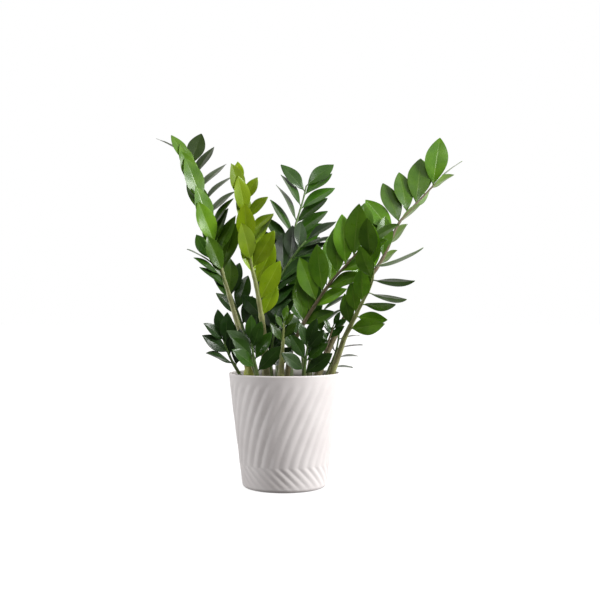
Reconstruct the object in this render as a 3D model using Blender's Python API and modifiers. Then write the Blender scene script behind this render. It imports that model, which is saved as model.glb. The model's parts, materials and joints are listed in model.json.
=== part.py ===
"""A potted ZZ plant (Zamioculcas zamiifolia) in a ridged white planter.

The frame is +Z up, in metres, with the origin at the centre of the pot's underside and -Y at the front.
A frond is one compound leaf: a swollen stalk that thins into a rachis with two rows of leaflets.
"""

import math
import random
from typing import NamedTuple

import bmesh
import bpy
import numpy as np
from mathutils import Matrix, Vector
from mathutils.bvhtree import BVHTree

# Pot
POT_HEIGHT = 0.245
POT_RIM_RADIUS = 0.120
POT_BASE_RADIUS = 0.090
POT_WALL = 0.006
POT_FLOOR = 0.010
POT_FOOT_ROUND = 0.009
POT_LIP_ROUND = 0.0025
POT_FLOOR_ROUND = 0.005
POT_WALL_STEPS = 14
RIDGE_COUNT = 30
RIDGE_DEPTH = 0.0014
RIDGE_BAND = 0.014  # plain band under the rim
RIDGE_HOOK = 0.052  # height where the ridges turn back
RIDGE_LEAN = math.radians(42)  # turn of a ridge from the hook to the band
RIDGE_KICK = math.radians(32)  # turn of a ridge from the hook down to the foot
RIDGE_BEND = 1.2  # exponent: above 1, a ridge is steepest near the hook
RIDGE_FADE = 0.014  # height over which the ridges fade out into the band

# Soil and tubers
SOIL_DEPTH_BELOW_RIM = 0.024
SOIL_MOUND = 0.006
SOIL_WAVE = 0.0015
SOIL_WAVES_PER_METRE = (46, 52)  # in radians, along X and Y
SOIL_PROFILE_SIDES = 28
TUBER_RADIUS = 0.036
TUBER_HEIGHT = 0.050
CROWN_ABOVE_SOIL = 0.004
TUBER_LUMPS = 0.05
TUBER_CLEARANCE = 0.0005  # to the pot's wall
STALK_SOCKET = 0.010  # how deep a stalk stands in its tuber
GAP = 0.0003  # between pieces that touch
WELD_DISTANCE = 0.00001

# Fronds
STALK_RADIUS = 0.0075
RACHIS_TIP_RADIUS = 0.0016
STALK_TAPER = 1.25  # exponent: above 1, it thins fastest low down
FOOT_SWELLING = 0.35  # how much wider a stalk is at its foot
FOOT_SHARE = 0.18  # how much of its length the swelling takes
LEAFLET_WIDTH_SHARE = 0.46  # a leaflet's width over its length
LEAFLET_THICKNESS = 0.0014
LEAFLET_BEND = 0.13  # how far a blade arches back, as a share of its length
LEAFLET_FOLD = 0.16  # how steeply its halves rise from the midrib
LEAFLET_CLEARANCE = 0.0006
OUTLINE_WIDEST = 1.05  # exponent: above 1, a blade is widest past its middle
OUTLINE_ROUND = 0.85  # exponent: under 1, its ends are fuller
STALKLET_HALF_WIDTH = 0.0014
STALKLET_LENGTH = 0.003
BLADE_SHARES = (0.0, 0.3, 0.6, 0.85)  # where its sections are, before the tip
RACHIS_STEP = 0.030
UNEVENNESS = 5.0  # degrees, how far a leaflet strays from its row's rule

# The sheath at the front left
SHEATH_TUBER = "rhizome_left"
SHEATH_PLACE = (-0.008, -0.033)  # from its tuber's middle
SHEATH_HEIGHT = 0.054
SHEATH_SET_IN = 0.006
SHEATH_RADIUS = 0.015
SHEATH_WRAP = math.radians(150)
SHEATH_FACING = math.radians(-20)
SHEATH_THICKNESS = 0.0012
SHEATH_DRAWN_IN = 0.35  # how much nearer its axis the tip is

COLLECTION_NAME = "potted_zz_plant"

WHITE_CERAMIC = (0.80, 0.78, 0.76)
POTTING_MIX = (0.055, 0.038, 0.026)
TUBER_SKIN = (0.30, 0.22, 0.12)
SHEATH_GREEN = (0.36, 0.38, 0.08)
MID_GREEN = (0.10, 0.22, 0.035)
DEEP_GREEN = (0.035, 0.10, 0.025)
DARK_GREEN = (0.015, 0.05, 0.018)
LIME_GREEN = (0.25, 0.42, 0.02)
FRESH_GREEN = (0.13, 0.30, 0.035)


class Row(NamedTuple):
    """One side's leaflets. Each tuple runs evenly from the row's lowest leaflet to its highest."""

    count: int
    span: tuple  # where the row starts and ends, as shares of the rachis
    reach: tuple  # degrees between a leaflet and the rachis
    lift: tuple  # degrees out of the frond's plane, towards its face
    twist: tuple  # degrees: 0 lies in the frond's plane, 90 looks along the rachis
    length: tuple


class Frond(NamedTuple):
    name: str
    colour: tuple
    thickness: float  # share of STALK_RADIUS
    tuber: str  # the one that it grows from or beside
    face: tuple  # the way the frond's upper side looks
    end: tuple  # reach, lift and twist of the leaflet at the tip
    foot: tuple  # from the tuber's middle
    path: tuple  # on to the tip, measured from the tuber's middle and up from the rim
    right: Row
    left: Row


FRONDS = (
    Frond(
        "frond_left_tall", MID_GREEN, 1.0, "rhizome_left", (0.30, -0.95, 0.0), (30, 180, 60),
        (-0.002, -0.006),
        (
            (-0.011, -0.006, 0.004), (-0.027, -0.002, 0.073), (-0.055, 0.008, 0.168),
            (-0.085, 0.020, 0.268), (-0.111, 0.032, 0.354), (-0.134, 0.042, 0.418),
            (-0.148, 0.050, 0.458), (-0.158, 0.054, 0.478),
        ),
        Row(
            11, (0.37, 0.94), (20, 22, 48, 58, 60, 56, 34), (30, 34, 6, 0, 0),
            (10, 18, 40, 58, 64, 66, 66, 66, 66, 4),
            (0.082, 0.108, 0.084, 0.094, 0.094, 0.094),
        ),
        Row(9, (0.47, 0.95), (22, 16, 14), (70, 80, 80), (10, 14, 16), (0.092, 0.106, 0.100, 0.070)),
    ),
    Frond(
        "frond_lime", LIME_GREEN, 1.1, "rhizome_front", (0.25, -0.97, 0.0), (16, -60, 20),
        (-0.040, 0.008),
        (
            (-0.042, 0.004, 0.005), (-0.045, -0.004, 0.074), (-0.051, -0.012, 0.124),
            (-0.061, -0.024, 0.186), (-0.072, -0.034, 0.233), (-0.080, -0.046, 0.286),
            (-0.083, -0.058, 0.339), (-0.091, -0.066, 0.382),
        ),
        Row(
            8, (0.35, 0.93), (34, 40, 36, 50, 48, 36), (20, 24, 26, 16, 12), (24, 18, 24, 74, 70, 20),
            (0.080, 0.098, 0.096, 0.066, 0.056),
        ),
        Row(6, (0.56, 0.94), (8, 10, 16), (84, 84, 70), (12, 16, 16), (0.090, 0.094, 0.076)),
    ),
    Frond(
        "frond_back_centre", DARK_GREEN, 0.9, "rhizome_back", (0.2, -1.0, 0.15), (34, 10, 24),
        (-0.018, -0.020),
        (
            (-0.020, -0.004, 0.045), (-0.012, 0.018, 0.180), (0.014, 0.046, 0.312),
            (0.034, 0.064, 0.385), (0.042, 0.072, 0.420),
        ),
        Row(
            9, (0.34, 0.95), (44, 40, 30, 34), (12, 10), (20, 40, 16, 44, 54, 40),
            (0.090, 0.108, 0.104, 0.088),
        ),
        Row(
            9, (0.32, 0.97), (40, 46, 38, 52), (24, 10, 20, 12), (10, 50, 16, 52, 54, 10),
            (0.096, 0.106, 0.096, 0.086),
        ),
    ),
    Frond(
        "frond_back_diagonal", DARK_GREEN, 0.8, "rhizome_back", (-0.5, -0.85, 0.3), (14, 0, 20),
        (-0.048, -0.034),
        (
            (-0.052, -0.032, 0.055), (-0.038, -0.028, 0.155), (-0.008, -0.022, 0.220),
            (0.020, -0.018, 0.263), (0.040, -0.014, 0.287),
        ),
        Row(8, (0.30, 0.94), (44, 40, 38), (12, 8), (14, 36, 20, 44), (0.084, 0.100, 0.088)),
        Row(8, (0.32, 0.92), (46, 36, 30), (12, 8), (20, 44, 20, 50), (0.084, 0.098, 0.080)),
    ),
    Frond(
        "frond_centre_right", FRESH_GREEN, 0.8, "rhizome_front", (-0.35, -0.9, 0.25), (10, 0, 30),
        (0.000, 0.030),
        (
            (0.003, 0.024, 0.005), (0.012, 0.014, 0.052), (0.033, 0.004, 0.100),
            (0.059, -0.009, 0.143), (0.091, -0.026, 0.190), (0.123, -0.042, 0.226),
            (0.146, -0.054, 0.251), (0.165, -0.064, 0.270),
        ),
        Row(5, (0.38, 0.90), (30, 24, 20), (-26, -10, -20), (10, 30, 20), (0.072, 0.084, 0.076)),
        Row(
            9, (0.40, 0.96), (40, 50, 44, 50, 38), (14, 24, 10, 16, 12),
            (60, 20, 46, 10, 48, 14, 40, 12, 20),
            (0.084, 0.104, 0.092, 0.116, 0.100, 0.116, 0.096),
        ),
    ),
    Frond(
        "frond_right_front", FRESH_GREEN, 1.1, "rhizome_right", (-0.25, -0.95, 0.3), (6, 20, 10),
        (0.014, -0.012),
        (
            (0.029, -0.018, -0.005), (0.048, -0.034, 0.046), (0.058, -0.048, 0.077),
            (0.071, -0.066, 0.105), (0.090, -0.094, 0.147), (0.107, -0.124, 0.184),
            (0.111, -0.148, 0.214), (0.104, -0.164, 0.237),
        ),
        Row(
            6, (0.44, 0.94), (50, 60, 62, 74, 90), (6, 0, 0, -10), (6, 10, -38, -46, -38, -44),
            (0.088, 0.070, 0.086, 0.092, 0.104),
        ),
        Row(6, (0.46, 0.94), (30, 26, 16), (24, 40), (24, 30, 10), (0.070, 0.084, 0.090)),
    ),
    Frond(
        "frond_right_tall", MID_GREEN, 1.0, "rhizome_right", (-0.35, -0.9, 0.3), (2, 0, 60),
        (-0.004, 0.010),
        (
            (0.012, 0.016, 0.017), (0.052, 0.026, 0.101), (0.100, 0.036, 0.179),
            (0.147, 0.046, 0.250), (0.182, 0.058, 0.325), (0.218, 0.070, 0.367),
            (0.248, 0.079, 0.398), (0.278, 0.087, 0.430),
        ),
        Row(5, (0.54, 0.94), (20, 16, 12), (-84, -84), (90, 90, 90), (0.066, 0.076, 0.070)),
        Row(
            11, (0.42, 0.96), (36, 46, 50, 62, 50, 34, 18), (34, 14), (34, 18, 44, 14, 30, 10, 10),
            (0.084, 0.098, 0.092, 0.104, 0.112, 0.114),
        ),
    ),
    Frond(
        "frond_back_left", DEEP_GREEN, 0.8, "rhizome_left", (0.4, -0.8, 0.4), (6, 0, 30),
        (-0.006, 0.056),
        (
            (-0.010, 0.062, 0.022), (-0.036, 0.078, 0.113), (-0.070, 0.090, 0.195),
            (-0.104, 0.098, 0.248),
        ),
        Row(5, (0.44, 0.92), (36, 28), (24, 10), (10, 44, 16), (0.080, 0.086, 0.072)),
        Row(5, (0.52, 0.96), (34, 24), (24, 10), (8, 30, 50), (0.074, 0.078, 0.070)),
    ),
    Frond(
        "frond_back_right", DEEP_GREEN, 0.9, "rhizome_back", (-0.2, -0.5, 0.8), (6, 0, 30),
        (0.044, -0.002),
        (
            (0.056, 0.018, 0.045), (0.076, 0.056, 0.145), (0.098, 0.096, 0.205),
            (0.118, 0.136, 0.245),
        ),
        Row(6, (0.40, 0.93), (52, 48, 42), (16, 12), (40, 46), (0.074, 0.086, 0.066)),
        Row(6, (0.44, 0.96), (52, 48, 42), (16, 12), (40, 46), (0.074, 0.086, 0.066)),
    ),
    Frond(
        "frond_back_tall", DEEP_GREEN, 0.9, "rhizome_back", (0.1, -0.4, 0.9), (6, 0, 30),
        (0.006, 0.012),
        (
            (0.004, 0.032, 0.055), (-0.010, 0.072, 0.155), (-0.020, 0.118, 0.235),
            (-0.028, 0.162, 0.285),
        ),
        Row(6, (0.38, 0.93), (52, 48, 42), (16, 12), (40, 46), (0.076, 0.088, 0.066)),
        Row(6, (0.42, 0.96), (52, 48, 42), (16, 12), (40, 46), (0.076, 0.088, 0.066)),
    ),
    Frond(
        "frond_low_left", DARK_GREEN, 0.6, "rhizome_left", (0.3, -0.9, 0.4), (6, 0, 30),
        (-0.020, -0.014),
        (
            (-0.032, -0.018, 0.001), (-0.048, -0.026, 0.031), (-0.060, -0.032, 0.061),
            (-0.064, -0.036, 0.077),
        ),
        Row(3, (0.40, 0.88), (40, 26), (20, 34), (10, 40, 16), (0.080, 0.066)),
        Row(3, (0.46, 0.94), (38, 22), (24, 10), (50, 14, 30), (0.078, 0.060)),
    ),
    Frond(
        "frond_low_middle", DEEP_GREEN, 0.7, "rhizome_left", (0.1, -0.9, 0.4), (6, 0, 30),
        (0.012, -0.058),
        (
            (0.008, -0.066, 0.005), (0.002, -0.076, 0.039), (-0.002, -0.082, 0.067),
        ),
        Row(3, (0.36, 0.88), (48, 28), (20, 34), (14, 50, 20), (0.076, 0.062)),
        Row(3, (0.46, 0.92), (40, 24), (30, 16), (44, 16, 30), (0.074, 0.058)),
    ),
    Frond(
        "frond_young_thick", FRESH_GREEN, 1.25, "rhizome_front", (0.1, -1.0, 0.2), (6, 0, 30),
        (-0.012, -0.012),
        (
            (-0.010, -0.016, 0.005), (-0.006, -0.020, 0.065), (-0.004, -0.022, 0.107),
        ),
        Row(2, (0.76, 0.94), (34, 26), (20, 20), (30, 40), (0.046, 0.038)),
        Row(2, (0.70, 0.90), (34, 26), (20, 20), (30, 40), (0.048, 0.038)),
    ),
    Frond(
        "frond_low_front", DEEP_GREEN, 0.7, "rhizome_front", (0.1, -0.9, 0.4), (6, 0, 30),
        (0.034, 0.000),
        (
            (0.038, -0.010, 0.005), (0.042, -0.018, 0.039), (0.046, -0.024, 0.063),
        ),
        Row(3, (0.32, 0.90), (46, 26), (20, 30), (20, 50, 16), (0.074, 0.058)),
        Row(3, (0.40, 0.92), (50, 26), (30, 16), (46, 10, 30), (0.074, 0.058)),
    ),
    Frond(
        "frond_low_centre", DARK_GREEN, 0.6, "rhizome_left", (-0.1, -0.9, 0.4), (6, 0, 30),
        (0.034, 0.000),
        (
            (0.034, -0.004, 0.013), (0.038, -0.010, 0.059), (0.046, -0.014, 0.095),
        ),
        Row(3, (0.34, 0.90), (48, 26), (20, 34), (16, 50, 20), (0.080, 0.062)),
        Row(3, (0.44, 0.93), (44, 24), (30, 16), (50, 12, 34), (0.078, 0.060)),
    ),
    Frond(
        "frond_low_back", DARK_GREEN, 0.7, "rhizome_back", (0.1, -0.8, 0.5), (6, 0, 30),
        (-0.036, 0.004),
        ((-0.038, -0.004, 0.040), (-0.034, -0.012, 0.100), (-0.026, -0.018, 0.150)),
        Row(4, (0.28, 0.90), (50, 26), (16, 30), (16, 50, 20), (0.088, 0.070)),
        Row(4, (0.36, 0.94), (46, 24), (30, 16), (50, 14, 40), (0.086, 0.066)),
    ),
    Frond(
        "frond_low_inner", DARK_GREEN, 0.7, "rhizome_right", (0.0, -0.8, 0.5), (6, 0, 30),
        (-0.026, 0.022),
        ((-0.030, 0.030, 0.040), (-0.030, 0.036, 0.100), (-0.022, 0.040, 0.150)),
        Row(4, (0.30, 0.90), (48, 26), (30, 16), (44, 14, 30), (0.084, 0.066)),
        Row(4, (0.38, 0.94), (50, 24), (16, 34), (14, 48, 20), (0.084, 0.064)),
    ),
    Frond(
        "frond_thin_inner", DEEP_GREEN, 0.5, "rhizome_right", (0.1, -0.9, 0.4), (6, 0, 30),
        (-0.008, -0.024),
        (
            (0.008, -0.026, 0.019), (0.026, -0.026, 0.073), (0.034, -0.026, 0.099),
        ),
        Row(2, (0.80, 0.95), (34, 30), (16, 16), (30, 30), (0.044, 0.040)),
        Row(2, (0.74, 0.90), (50, 40), (16, 16), (30, 30), (0.040, 0.036)),
    ),
    Frond(
        "frond_low_right", DARK_GREEN, 0.6, "rhizome_right", (-0.1, -0.3, 0.9), (6, 0, 30),
        (0.018, 0.030),
        (
            (0.027, 0.033, 0.002), (0.042, 0.042, 0.039), (0.048, 0.046, 0.067),
            (0.050, 0.048, 0.079),
        ),
        Row(4, (0.34, 0.92), (74, 72, 70), (4, 4), (64, 72), (0.062, 0.068, 0.056)),
        Row(3, (0.40, 0.95), (60, 56), (10, 10), (60, 60), (0.050, 0.044)),
    ),
)

TUBERS = {
    "rhizome_left": (-0.912, -0.285),
    "rhizome_front": (0.057, -0.940),
    "rhizome_right": (0.997, 0.057),
    "rhizome_back": (0.085, 0.769),
}  # where each stands, as shares of the room that the pot leaves it


class Leaflet(NamedTuple):
    root: Vector  # on the rachis's axis
    along: Vector  # from the rachis to the tip
    face: Vector  # out of the upper side
    length: float
    bare: float  # from the axis to the foot of the blade


def along_row(values, share):
    """The value at a share of the way along evenly spaced values."""
    return float(np.interp(share, np.linspace(0, 1, len(values)), values))


def smooth_path(points, step):
    """Points about a step apart on a Catmull-Rom curve through the given ones."""
    knots = [Vector(p) for p in points]
    knots = [2 * knots[0] - knots[1]] + knots + [2 * knots[-1] - knots[-2]]
    fine = []
    for a, b, c, d in zip(knots, knots[1:], knots[2:], knots[3:]):
        for t in np.linspace(0, 1, 12, endpoint=False):
            ahead = (c - a) * t + (2 * a - 5 * b + 4 * c - d) * t**2 + (3 * b - a - 3 * c + d) * t**3
            fine.append(b + ahead / 2)
    fine.append(knots[-2])
    travelled = np.concatenate([[0], np.cumsum([(q - p).length for p, q in zip(fine, fine[1:])])])
    stops = np.linspace(0, travelled[-1], max(4, round(travelled[-1] / step)) + 1)
    return [Vector([float(np.interp(s, travelled, [p[i] for p in fine])) for i in range(3)]) for s in stops]


def frond_path(frond):
    """The smooth path of a frond, whose foot is set in the tubers' crowns."""
    middle = Vector((*tuber_place(frond.tuber), POT_HEIGHT))
    x, y = middle.xy + Vector(frond.foot)
    foot = (x, y, soil_height(x, y) + CROWN_ABOVE_SOIL - STALK_SOCKET)
    return smooth_path((foot, *(middle + Vector(point) for point in frond.path)), RACHIS_STEP)


def point_at(path, share):
    """The point and the direction at a share of the path's length."""
    place = share * (len(path) - 1)
    i = min(int(place), len(path) - 2)
    return path[i].lerp(path[i + 1], place - i), (path[i + 1] - path[i]).normalized()


def stalk_radius(frond, share):
    """Swollen at the foot, then an even taper to the tip."""
    full = STALK_RADIUS * frond.thickness
    swelling = FOOT_SWELLING * full * max(0.0, 1 - share / FOOT_SHARE) ** 2
    return RACHIS_TIP_RADIUS + (full - RACHIS_TIP_RADIUS) * (1 - share) ** STALK_TAPER + swelling


def outline(share):
    """A blade's half width at a share of its length, as a share of its greatest."""
    return math.sin(math.pi * share**OUTLINE_WIDEST) ** OUTLINE_ROUND if 0 < share < 1 else 0.0


def leaflet_sections(leaflet, shares, swell):
    """The left edge, ridge, right edge and keel of the blade at each share of its length, and its tip."""
    across = leaflet.along.cross(leaflet.face)
    half_width = leaflet.length * LEAFLET_WIDTH_SHARE / 2
    up = leaflet.face * (LEAFLET_THICKNESS / 2 + swell)

    def spine(share):
        ahead = leaflet.along * (leaflet.bare + leaflet.length * share)
        return leaflet.root + ahead - leaflet.face * LEAFLET_BEND * leaflet.length * share**2

    sections = []
    for share in shares:
        half = max(STALKLET_HALF_WIDTH, half_width * outline(share)) + swell
        side = across * half
        rise = leaflet.face * half * LEAFLET_FOLD
        middle = spine(share)
        sections.append((middle - side + rise, middle + up, middle + side + rise, middle - up))
    return sections, spine(1.0) + leaflet.along * swell


def loft_leaflet(bm, leaflet, swell, rooted):
    """Lofts a closed blade, lens-shaped in section, from its foot, or from its root, to its tip."""
    sections, tip = leaflet_sections(leaflet, BLADE_SHARES, swell)
    if rooted:
        inwards = -leaflet.along * leaflet.bare
        sections.insert(0, tuple(point + inwards for point in sections[0]))
    rings = [[bm.verts.new(point) for point in section] for section in sections]
    end = bm.verts.new(tip)
    bm.faces.new(rings[0])
    for lower, upper in zip(rings, rings[1:]):
        for i in range(4):
            j = (i + 1) % 4
            bm.faces.new((lower[j], lower[i], upper[i], upper[j]))
    for i in range(4):
        bm.faces.new((rings[-1][(i + 1) % 4], rings[-1][i], end))


def leaflets_mesh(name, leaflets, swell=0.0, rooted=True):
    bm = bmesh.new()
    for leaflet in leaflets:
        loft_leaflet(bm, leaflet, swell, rooted)
    return mesh_of(bm, name)


def tree_of(mesh):
    return BVHTree.FromPolygons([v.co for v in mesh.vertices], [p.vertices[:] for p in mesh.polygons])


def nudges():
    """Small turns that a leaflet tries in order, the least first, and then the same ones shorter."""
    turns = [(0, 0)]
    for size in (7, 14, 21, 28):
        turns += [(0, size), (0, -size), (size, 0), (-size, 0)]
        turns += [(size, size), (-size, size), (size, -size), (-size, -size)]
    return [(reach, lift, share) for share in (1.0, 0.88, 0.76, 0.64) for reach, lift in turns]


def set_leaflet(frond, path, share, side, angles, length):
    """A leaflet at a share of the rachis, from its reach, lift and twist in degrees."""
    bare = stalk_radius(frond, share) + STALKLET_LENGTH
    reach, lift, twist = (math.radians(a) for a in angles)
    root, ahead = point_at(path, share)
    face = Vector(frond.face)
    face = (face - ahead * face.dot(ahead)).normalized()
    sideways = ahead.cross(face) * side
    along = ahead * math.cos(reach) + (sideways * math.cos(lift) + face * math.sin(lift)) * math.sin(reach)
    flat = (face - along * face.dot(along)).normalized()
    upright = ahead - along * ahead.dot(along)
    upright = (upright - flat * upright.dot(flat)).normalized()
    return Leaflet(root, along, flat * math.cos(twist) + upright * math.sin(twist), length - bare, bare)


def frond_leaflets(frond, path, is_free):
    """Sets the leaflets of both rows and the end one, each turned aside until it is clear."""
    dice = random.Random(frond.name)
    wanted = [(1.0, 1, frond.end, min(frond.right.length[-1], frond.left.length[-1]))]
    for side, row in ((1, frond.right), (-1, frond.left)):
        for i in range(row.count):
            share = i / max(1, row.count - 1)
            angles = [along_row(v, share) + dice.uniform(-UNEVENNESS, UNEVENNESS) for v in row[2:5]]
            length = along_row(row.length, share) * dice.uniform(0.94, 1.06)
            wanted.append((along_row(row.span, share), side, angles, length))
    for place, side, (reach, lift, twist), length in wanted:
        for more_reach, more_lift, share in nudges():
            angles = (reach + more_reach, lift + more_lift, twist)
            leaflet = set_leaflet(frond, path, place, side, angles, length * share)
            if is_free(leaflet):
                yield leaflet
                break


def grow(paths, obstacles):
    """The leaflets of every frond, none of which meets another frond or an obstacle."""
    stalks = {f.name: tree_of(stalk_mesh(f, paths[f.name], LEAFLET_CLEARANCE)) for f in FRONDS}
    trees = [tree_of(mesh) for mesh in obstacles]
    grown = {}
    for frond in FRONDS:
        others = [tree for name, tree in stalks.items() if name != frond.name]

        def is_free(leaflet, others=others):
            tree = tree_of(leaflets_mesh("trial", [leaflet], LEAFLET_CLEARANCE, rooted=False))
            if any(tree.overlap(other) for other in trees + others):
                return False
            trees.append(tree)
            return True

        grown[frond.name] = list(frond_leaflets(frond, paths[frond.name], is_free))
    return grown


def stalk_mesh(frond, path, more=0.0):
    """The stalk and rachis as a tapered tube with welded caps, wider all round and deeper by more."""
    curve = bpy.data.curves.new(frond.name, "CURVE")
    curve.dimensions = "3D"
    curve.bevel_depth = 1.0
    curve.bevel_resolution = 1
    curve.use_fill_caps = True
    spline = curve.splines.new("POLY")
    spline.points.add(len(path) - 1)
    for i, place in enumerate(path):
        spline.points[i].co = (*place, 1.0)
        spline.points[i].radius = stalk_radius(frond, i / (len(path) - 1)) + more
    spline.points[0].co.z -= more
    tube = bpy.data.objects.new(frond.name, curve)
    bpy.context.scene.collection.objects.link(tube)
    bm = bmesh.new()
    bm.from_mesh(settled(tube))
    bpy.data.objects.remove(tube)
    bmesh.ops.remove_doubles(bm, verts=bm.verts, dist=WELD_DISTANCE)
    return mesh_of(bm, frond.name)


def make_material(name, colour, roughness):
    material = bpy.data.materials.new(name)
    material.use_nodes = True
    shader = material.node_tree.nodes["Principled BSDF"]
    shader.inputs["Base Color"].default_value = (*colour, 1.0)
    shader.inputs["Roughness"].default_value = roughness
    shader.inputs["Metallic"].default_value = 0.0
    return material


def add_object(name, mesh, collection, material=None):
    if material:
        mesh.materials.append(material)
    mesh.shade_smooth()
    mesh.set_sharp_from_angle(angle=math.radians(40))
    obj = bpy.data.objects.new(name, mesh)
    collection.objects.link(obj)
    return obj


def mesh_of(bm, name):
    bmesh.ops.triangulate(bm, faces=bm.faces)
    bmesh.ops.recalc_face_normals(bm, faces=bm.faces)
    mesh = bpy.data.meshes.new(name)
    bm.to_mesh(mesh)
    bm.free()
    return mesh


def as_cutter(obj):
    obj.hide_render = True
    obj.display_type = "WIRE"
    return obj


def add_cutter(name, mesh, collection):
    return as_cutter(add_object(name, mesh, collection))


def add_boolean(obj, tools, operation):
    """Cuts or joins an object with every object of a collection."""
    modifier = obj.modifiers.new(operation.lower(), "BOOLEAN")
    modifier.operation = operation
    modifier.operand_type = "COLLECTION"
    modifier.collection = tools
    modifier.solver = "EXACT"
    modifier.use_self = True


def settled(obj):
    """The object's evaluated mesh as a new one."""
    bpy.context.view_layer.update()
    return bpy.data.meshes.new_from_object(obj.evaluated_get(bpy.context.evaluated_depsgraph_get()))


def wall_radius(height):
    """The pot's outer radius at a height, before its ridges and its rounded foot."""
    return POT_BASE_RADIUS + (POT_RIM_RADIUS - POT_BASE_RADIUS) * height / POT_HEIGHT


def ridge_turn(height):
    """How far a ridge has turned at a height: it leans one way above the hook and the other way below."""
    above = (height - RIDGE_HOOK) / (POT_HEIGHT - RIDGE_HOOK)
    below = (RIDGE_HOOK - height) / RIDGE_HOOK
    return RIDGE_LEAN * above**RIDGE_BEND if above > 0 else RIDGE_KICK * below


def ridge_height(height):
    """The ridges' depth at a height, faded out at the band and at the foot."""
    band = POT_HEIGHT - RIDGE_BAND
    top = np.interp(height, (band - RIDGE_FADE, band), (1, 0))
    foot = np.interp(height, (0, 2 * POT_FOOT_ROUND), (0, 1))
    return RIDGE_DEPTH * top * foot


def pot_profile():
    """The pot's section from the rim down its outer side, across its foot and floor, and up its inner wall."""
    corner = wall_radius(POT_FOOT_ROUND)
    heights = np.linspace(POT_HEIGHT - POT_LIP_ROUND, POT_FOOT_ROUND, POT_WALL_STEPS)
    points = [(wall_radius(z), z) for z in heights]
    for turn in np.radians((30, 60, 90)):
        points.append((corner - POT_FOOT_ROUND * (1 - math.cos(turn)), POT_FOOT_ROUND * (1 - math.sin(turn))))
    points += [(0.0, 0.0), (0.0, POT_FLOOR)]
    floor_radius = wall_radius(POT_FLOOR) - POT_WALL
    points += [(floor_radius - POT_FLOOR_ROUND, POT_FLOOR), (floor_radius, POT_FLOOR + POT_FLOOR_ROUND)]
    inner = wall_radius(POT_HEIGHT) - POT_WALL
    points += [(inner, POT_HEIGHT - POT_LIP_ROUND), (inner + POT_LIP_ROUND, POT_HEIGHT)]
    points.append((wall_radius(POT_HEIGHT) - POT_LIP_ROUND, POT_HEIGHT))
    return points + points[:1]


def turn_profile(name, profile, steps, collection):
    """An object whose Screw modifier turns a section round +Z."""
    mesh = bpy.data.meshes.new(name)
    points = [(r, 0.0, z) for r, z in profile]
    mesh.from_pydata(points, [(i, i + 1) for i in range(len(points) - 1)], [])
    obj = add_object(name, mesh, collection)
    screw = obj.modifiers.new("turn", "SCREW")
    screw.steps = steps
    screw.render_steps = steps
    screw.use_merge_vertices = True
    screw.merge_threshold = WELD_DISTANCE
    screw.use_smooth_shade = True
    return obj


def add_pot(collection):
    """The turned pot, whose outer points are turned and moved so that every other one is a ridge."""
    steps = 2 * RIDGE_COUNT
    turned = turn_profile("pot_section", pot_profile(), steps, collection)
    mesh = settled(turned)
    bpy.data.objects.remove(turned)
    bm = bmesh.new()
    bm.from_mesh(mesh)
    bmesh.ops.remove_doubles(bm, verts=bm.verts, dist=WELD_DISTANCE)
    for vert in bm.verts:
        radius = math.hypot(vert.co.x, vert.co.y)
        if radius < wall_radius(vert.co.z) - POT_WALL / 2:
            continue
        angle = math.atan2(vert.co.y, vert.co.x)
        crest = 1 if round(angle / (2 * math.pi) * steps) % 2 else -1
        radius += crest * ridge_height(vert.co.z) / 2
        angle += ridge_turn(vert.co.z) - ridge_turn(POT_HEIGHT)
        vert.co.x, vert.co.y = radius * math.cos(angle), radius * math.sin(angle)
    mesh = mesh_of(bm, "pot")
    return add_object("pot", mesh, collection, make_material("white_ceramic", WHITE_CERAMIC, 0.55))


def soil_height(x, y):
    """The height of the soil's surface, mounded in the middle and a little uneven."""
    far = math.hypot(x, y) / (wall_radius(POT_HEIGHT) - POT_WALL)
    waves = math.sin(SOIL_WAVES_PER_METRE[0] * x + 1.0) * math.cos(SOIL_WAVES_PER_METRE[1] * y - 0.6)
    return POT_HEIGHT - SOIL_DEPTH_BELOW_RIM + SOIL_MOUND * (1 - far**2) + SOIL_WAVE * waves


def add_soil(collection):
    """The block of potting mix that fills the pot up to its uneven surface."""
    inside = wall_radius(POT_HEIGHT) - POT_WALL - GAP
    floor = POT_FLOOR + GAP
    foot = wall_radius(POT_FLOOR) - POT_WALL - GAP
    top = POT_HEIGHT - SOIL_DEPTH_BELOW_RIM
    lean = (inside - foot) / (POT_HEIGHT - POT_FLOOR)
    edge = foot + lean * (top - POT_FLOOR) - GAP
    profile = [(0.0, top), (edge * 0.35, top), (edge * 0.7, top), (edge, top)]
    profile += [(foot - GAP, floor + POT_FLOOR_ROUND), (foot - POT_FLOOR_ROUND, floor), (0.0, floor)]
    turned = turn_profile("soil_section", profile, SOIL_PROFILE_SIDES, collection)
    mesh = settled(turned)
    bpy.data.objects.remove(turned)
    bm = bmesh.new()
    bm.from_mesh(mesh)
    bmesh.ops.remove_doubles(bm, verts=bm.verts, dist=WELD_DISTANCE)
    for vert in bm.verts:
        if abs(vert.co.z - top) < WELD_DISTANCE:
            vert.co.z = soil_height(vert.co.x, vert.co.y)
    mesh = mesh_of(bm, "soil")
    return add_object("soil", mesh, collection, make_material("potting_mix", POTTING_MIX, 0.95))


def tuber_place(name):
    """The middle of a tuber, within what the pot's wall leaves free at the tuber's own height."""
    height = POT_HEIGHT - SOIL_DEPTH_BELOW_RIM + CROWN_ABOVE_SOIL - TUBER_HEIGHT / 2
    room = wall_radius(height) - POT_WALL - TUBER_CLEARANCE - TUBER_RADIUS * (1 + TUBER_LUMPS)
    return Vector(TUBERS[name]) * room


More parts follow.
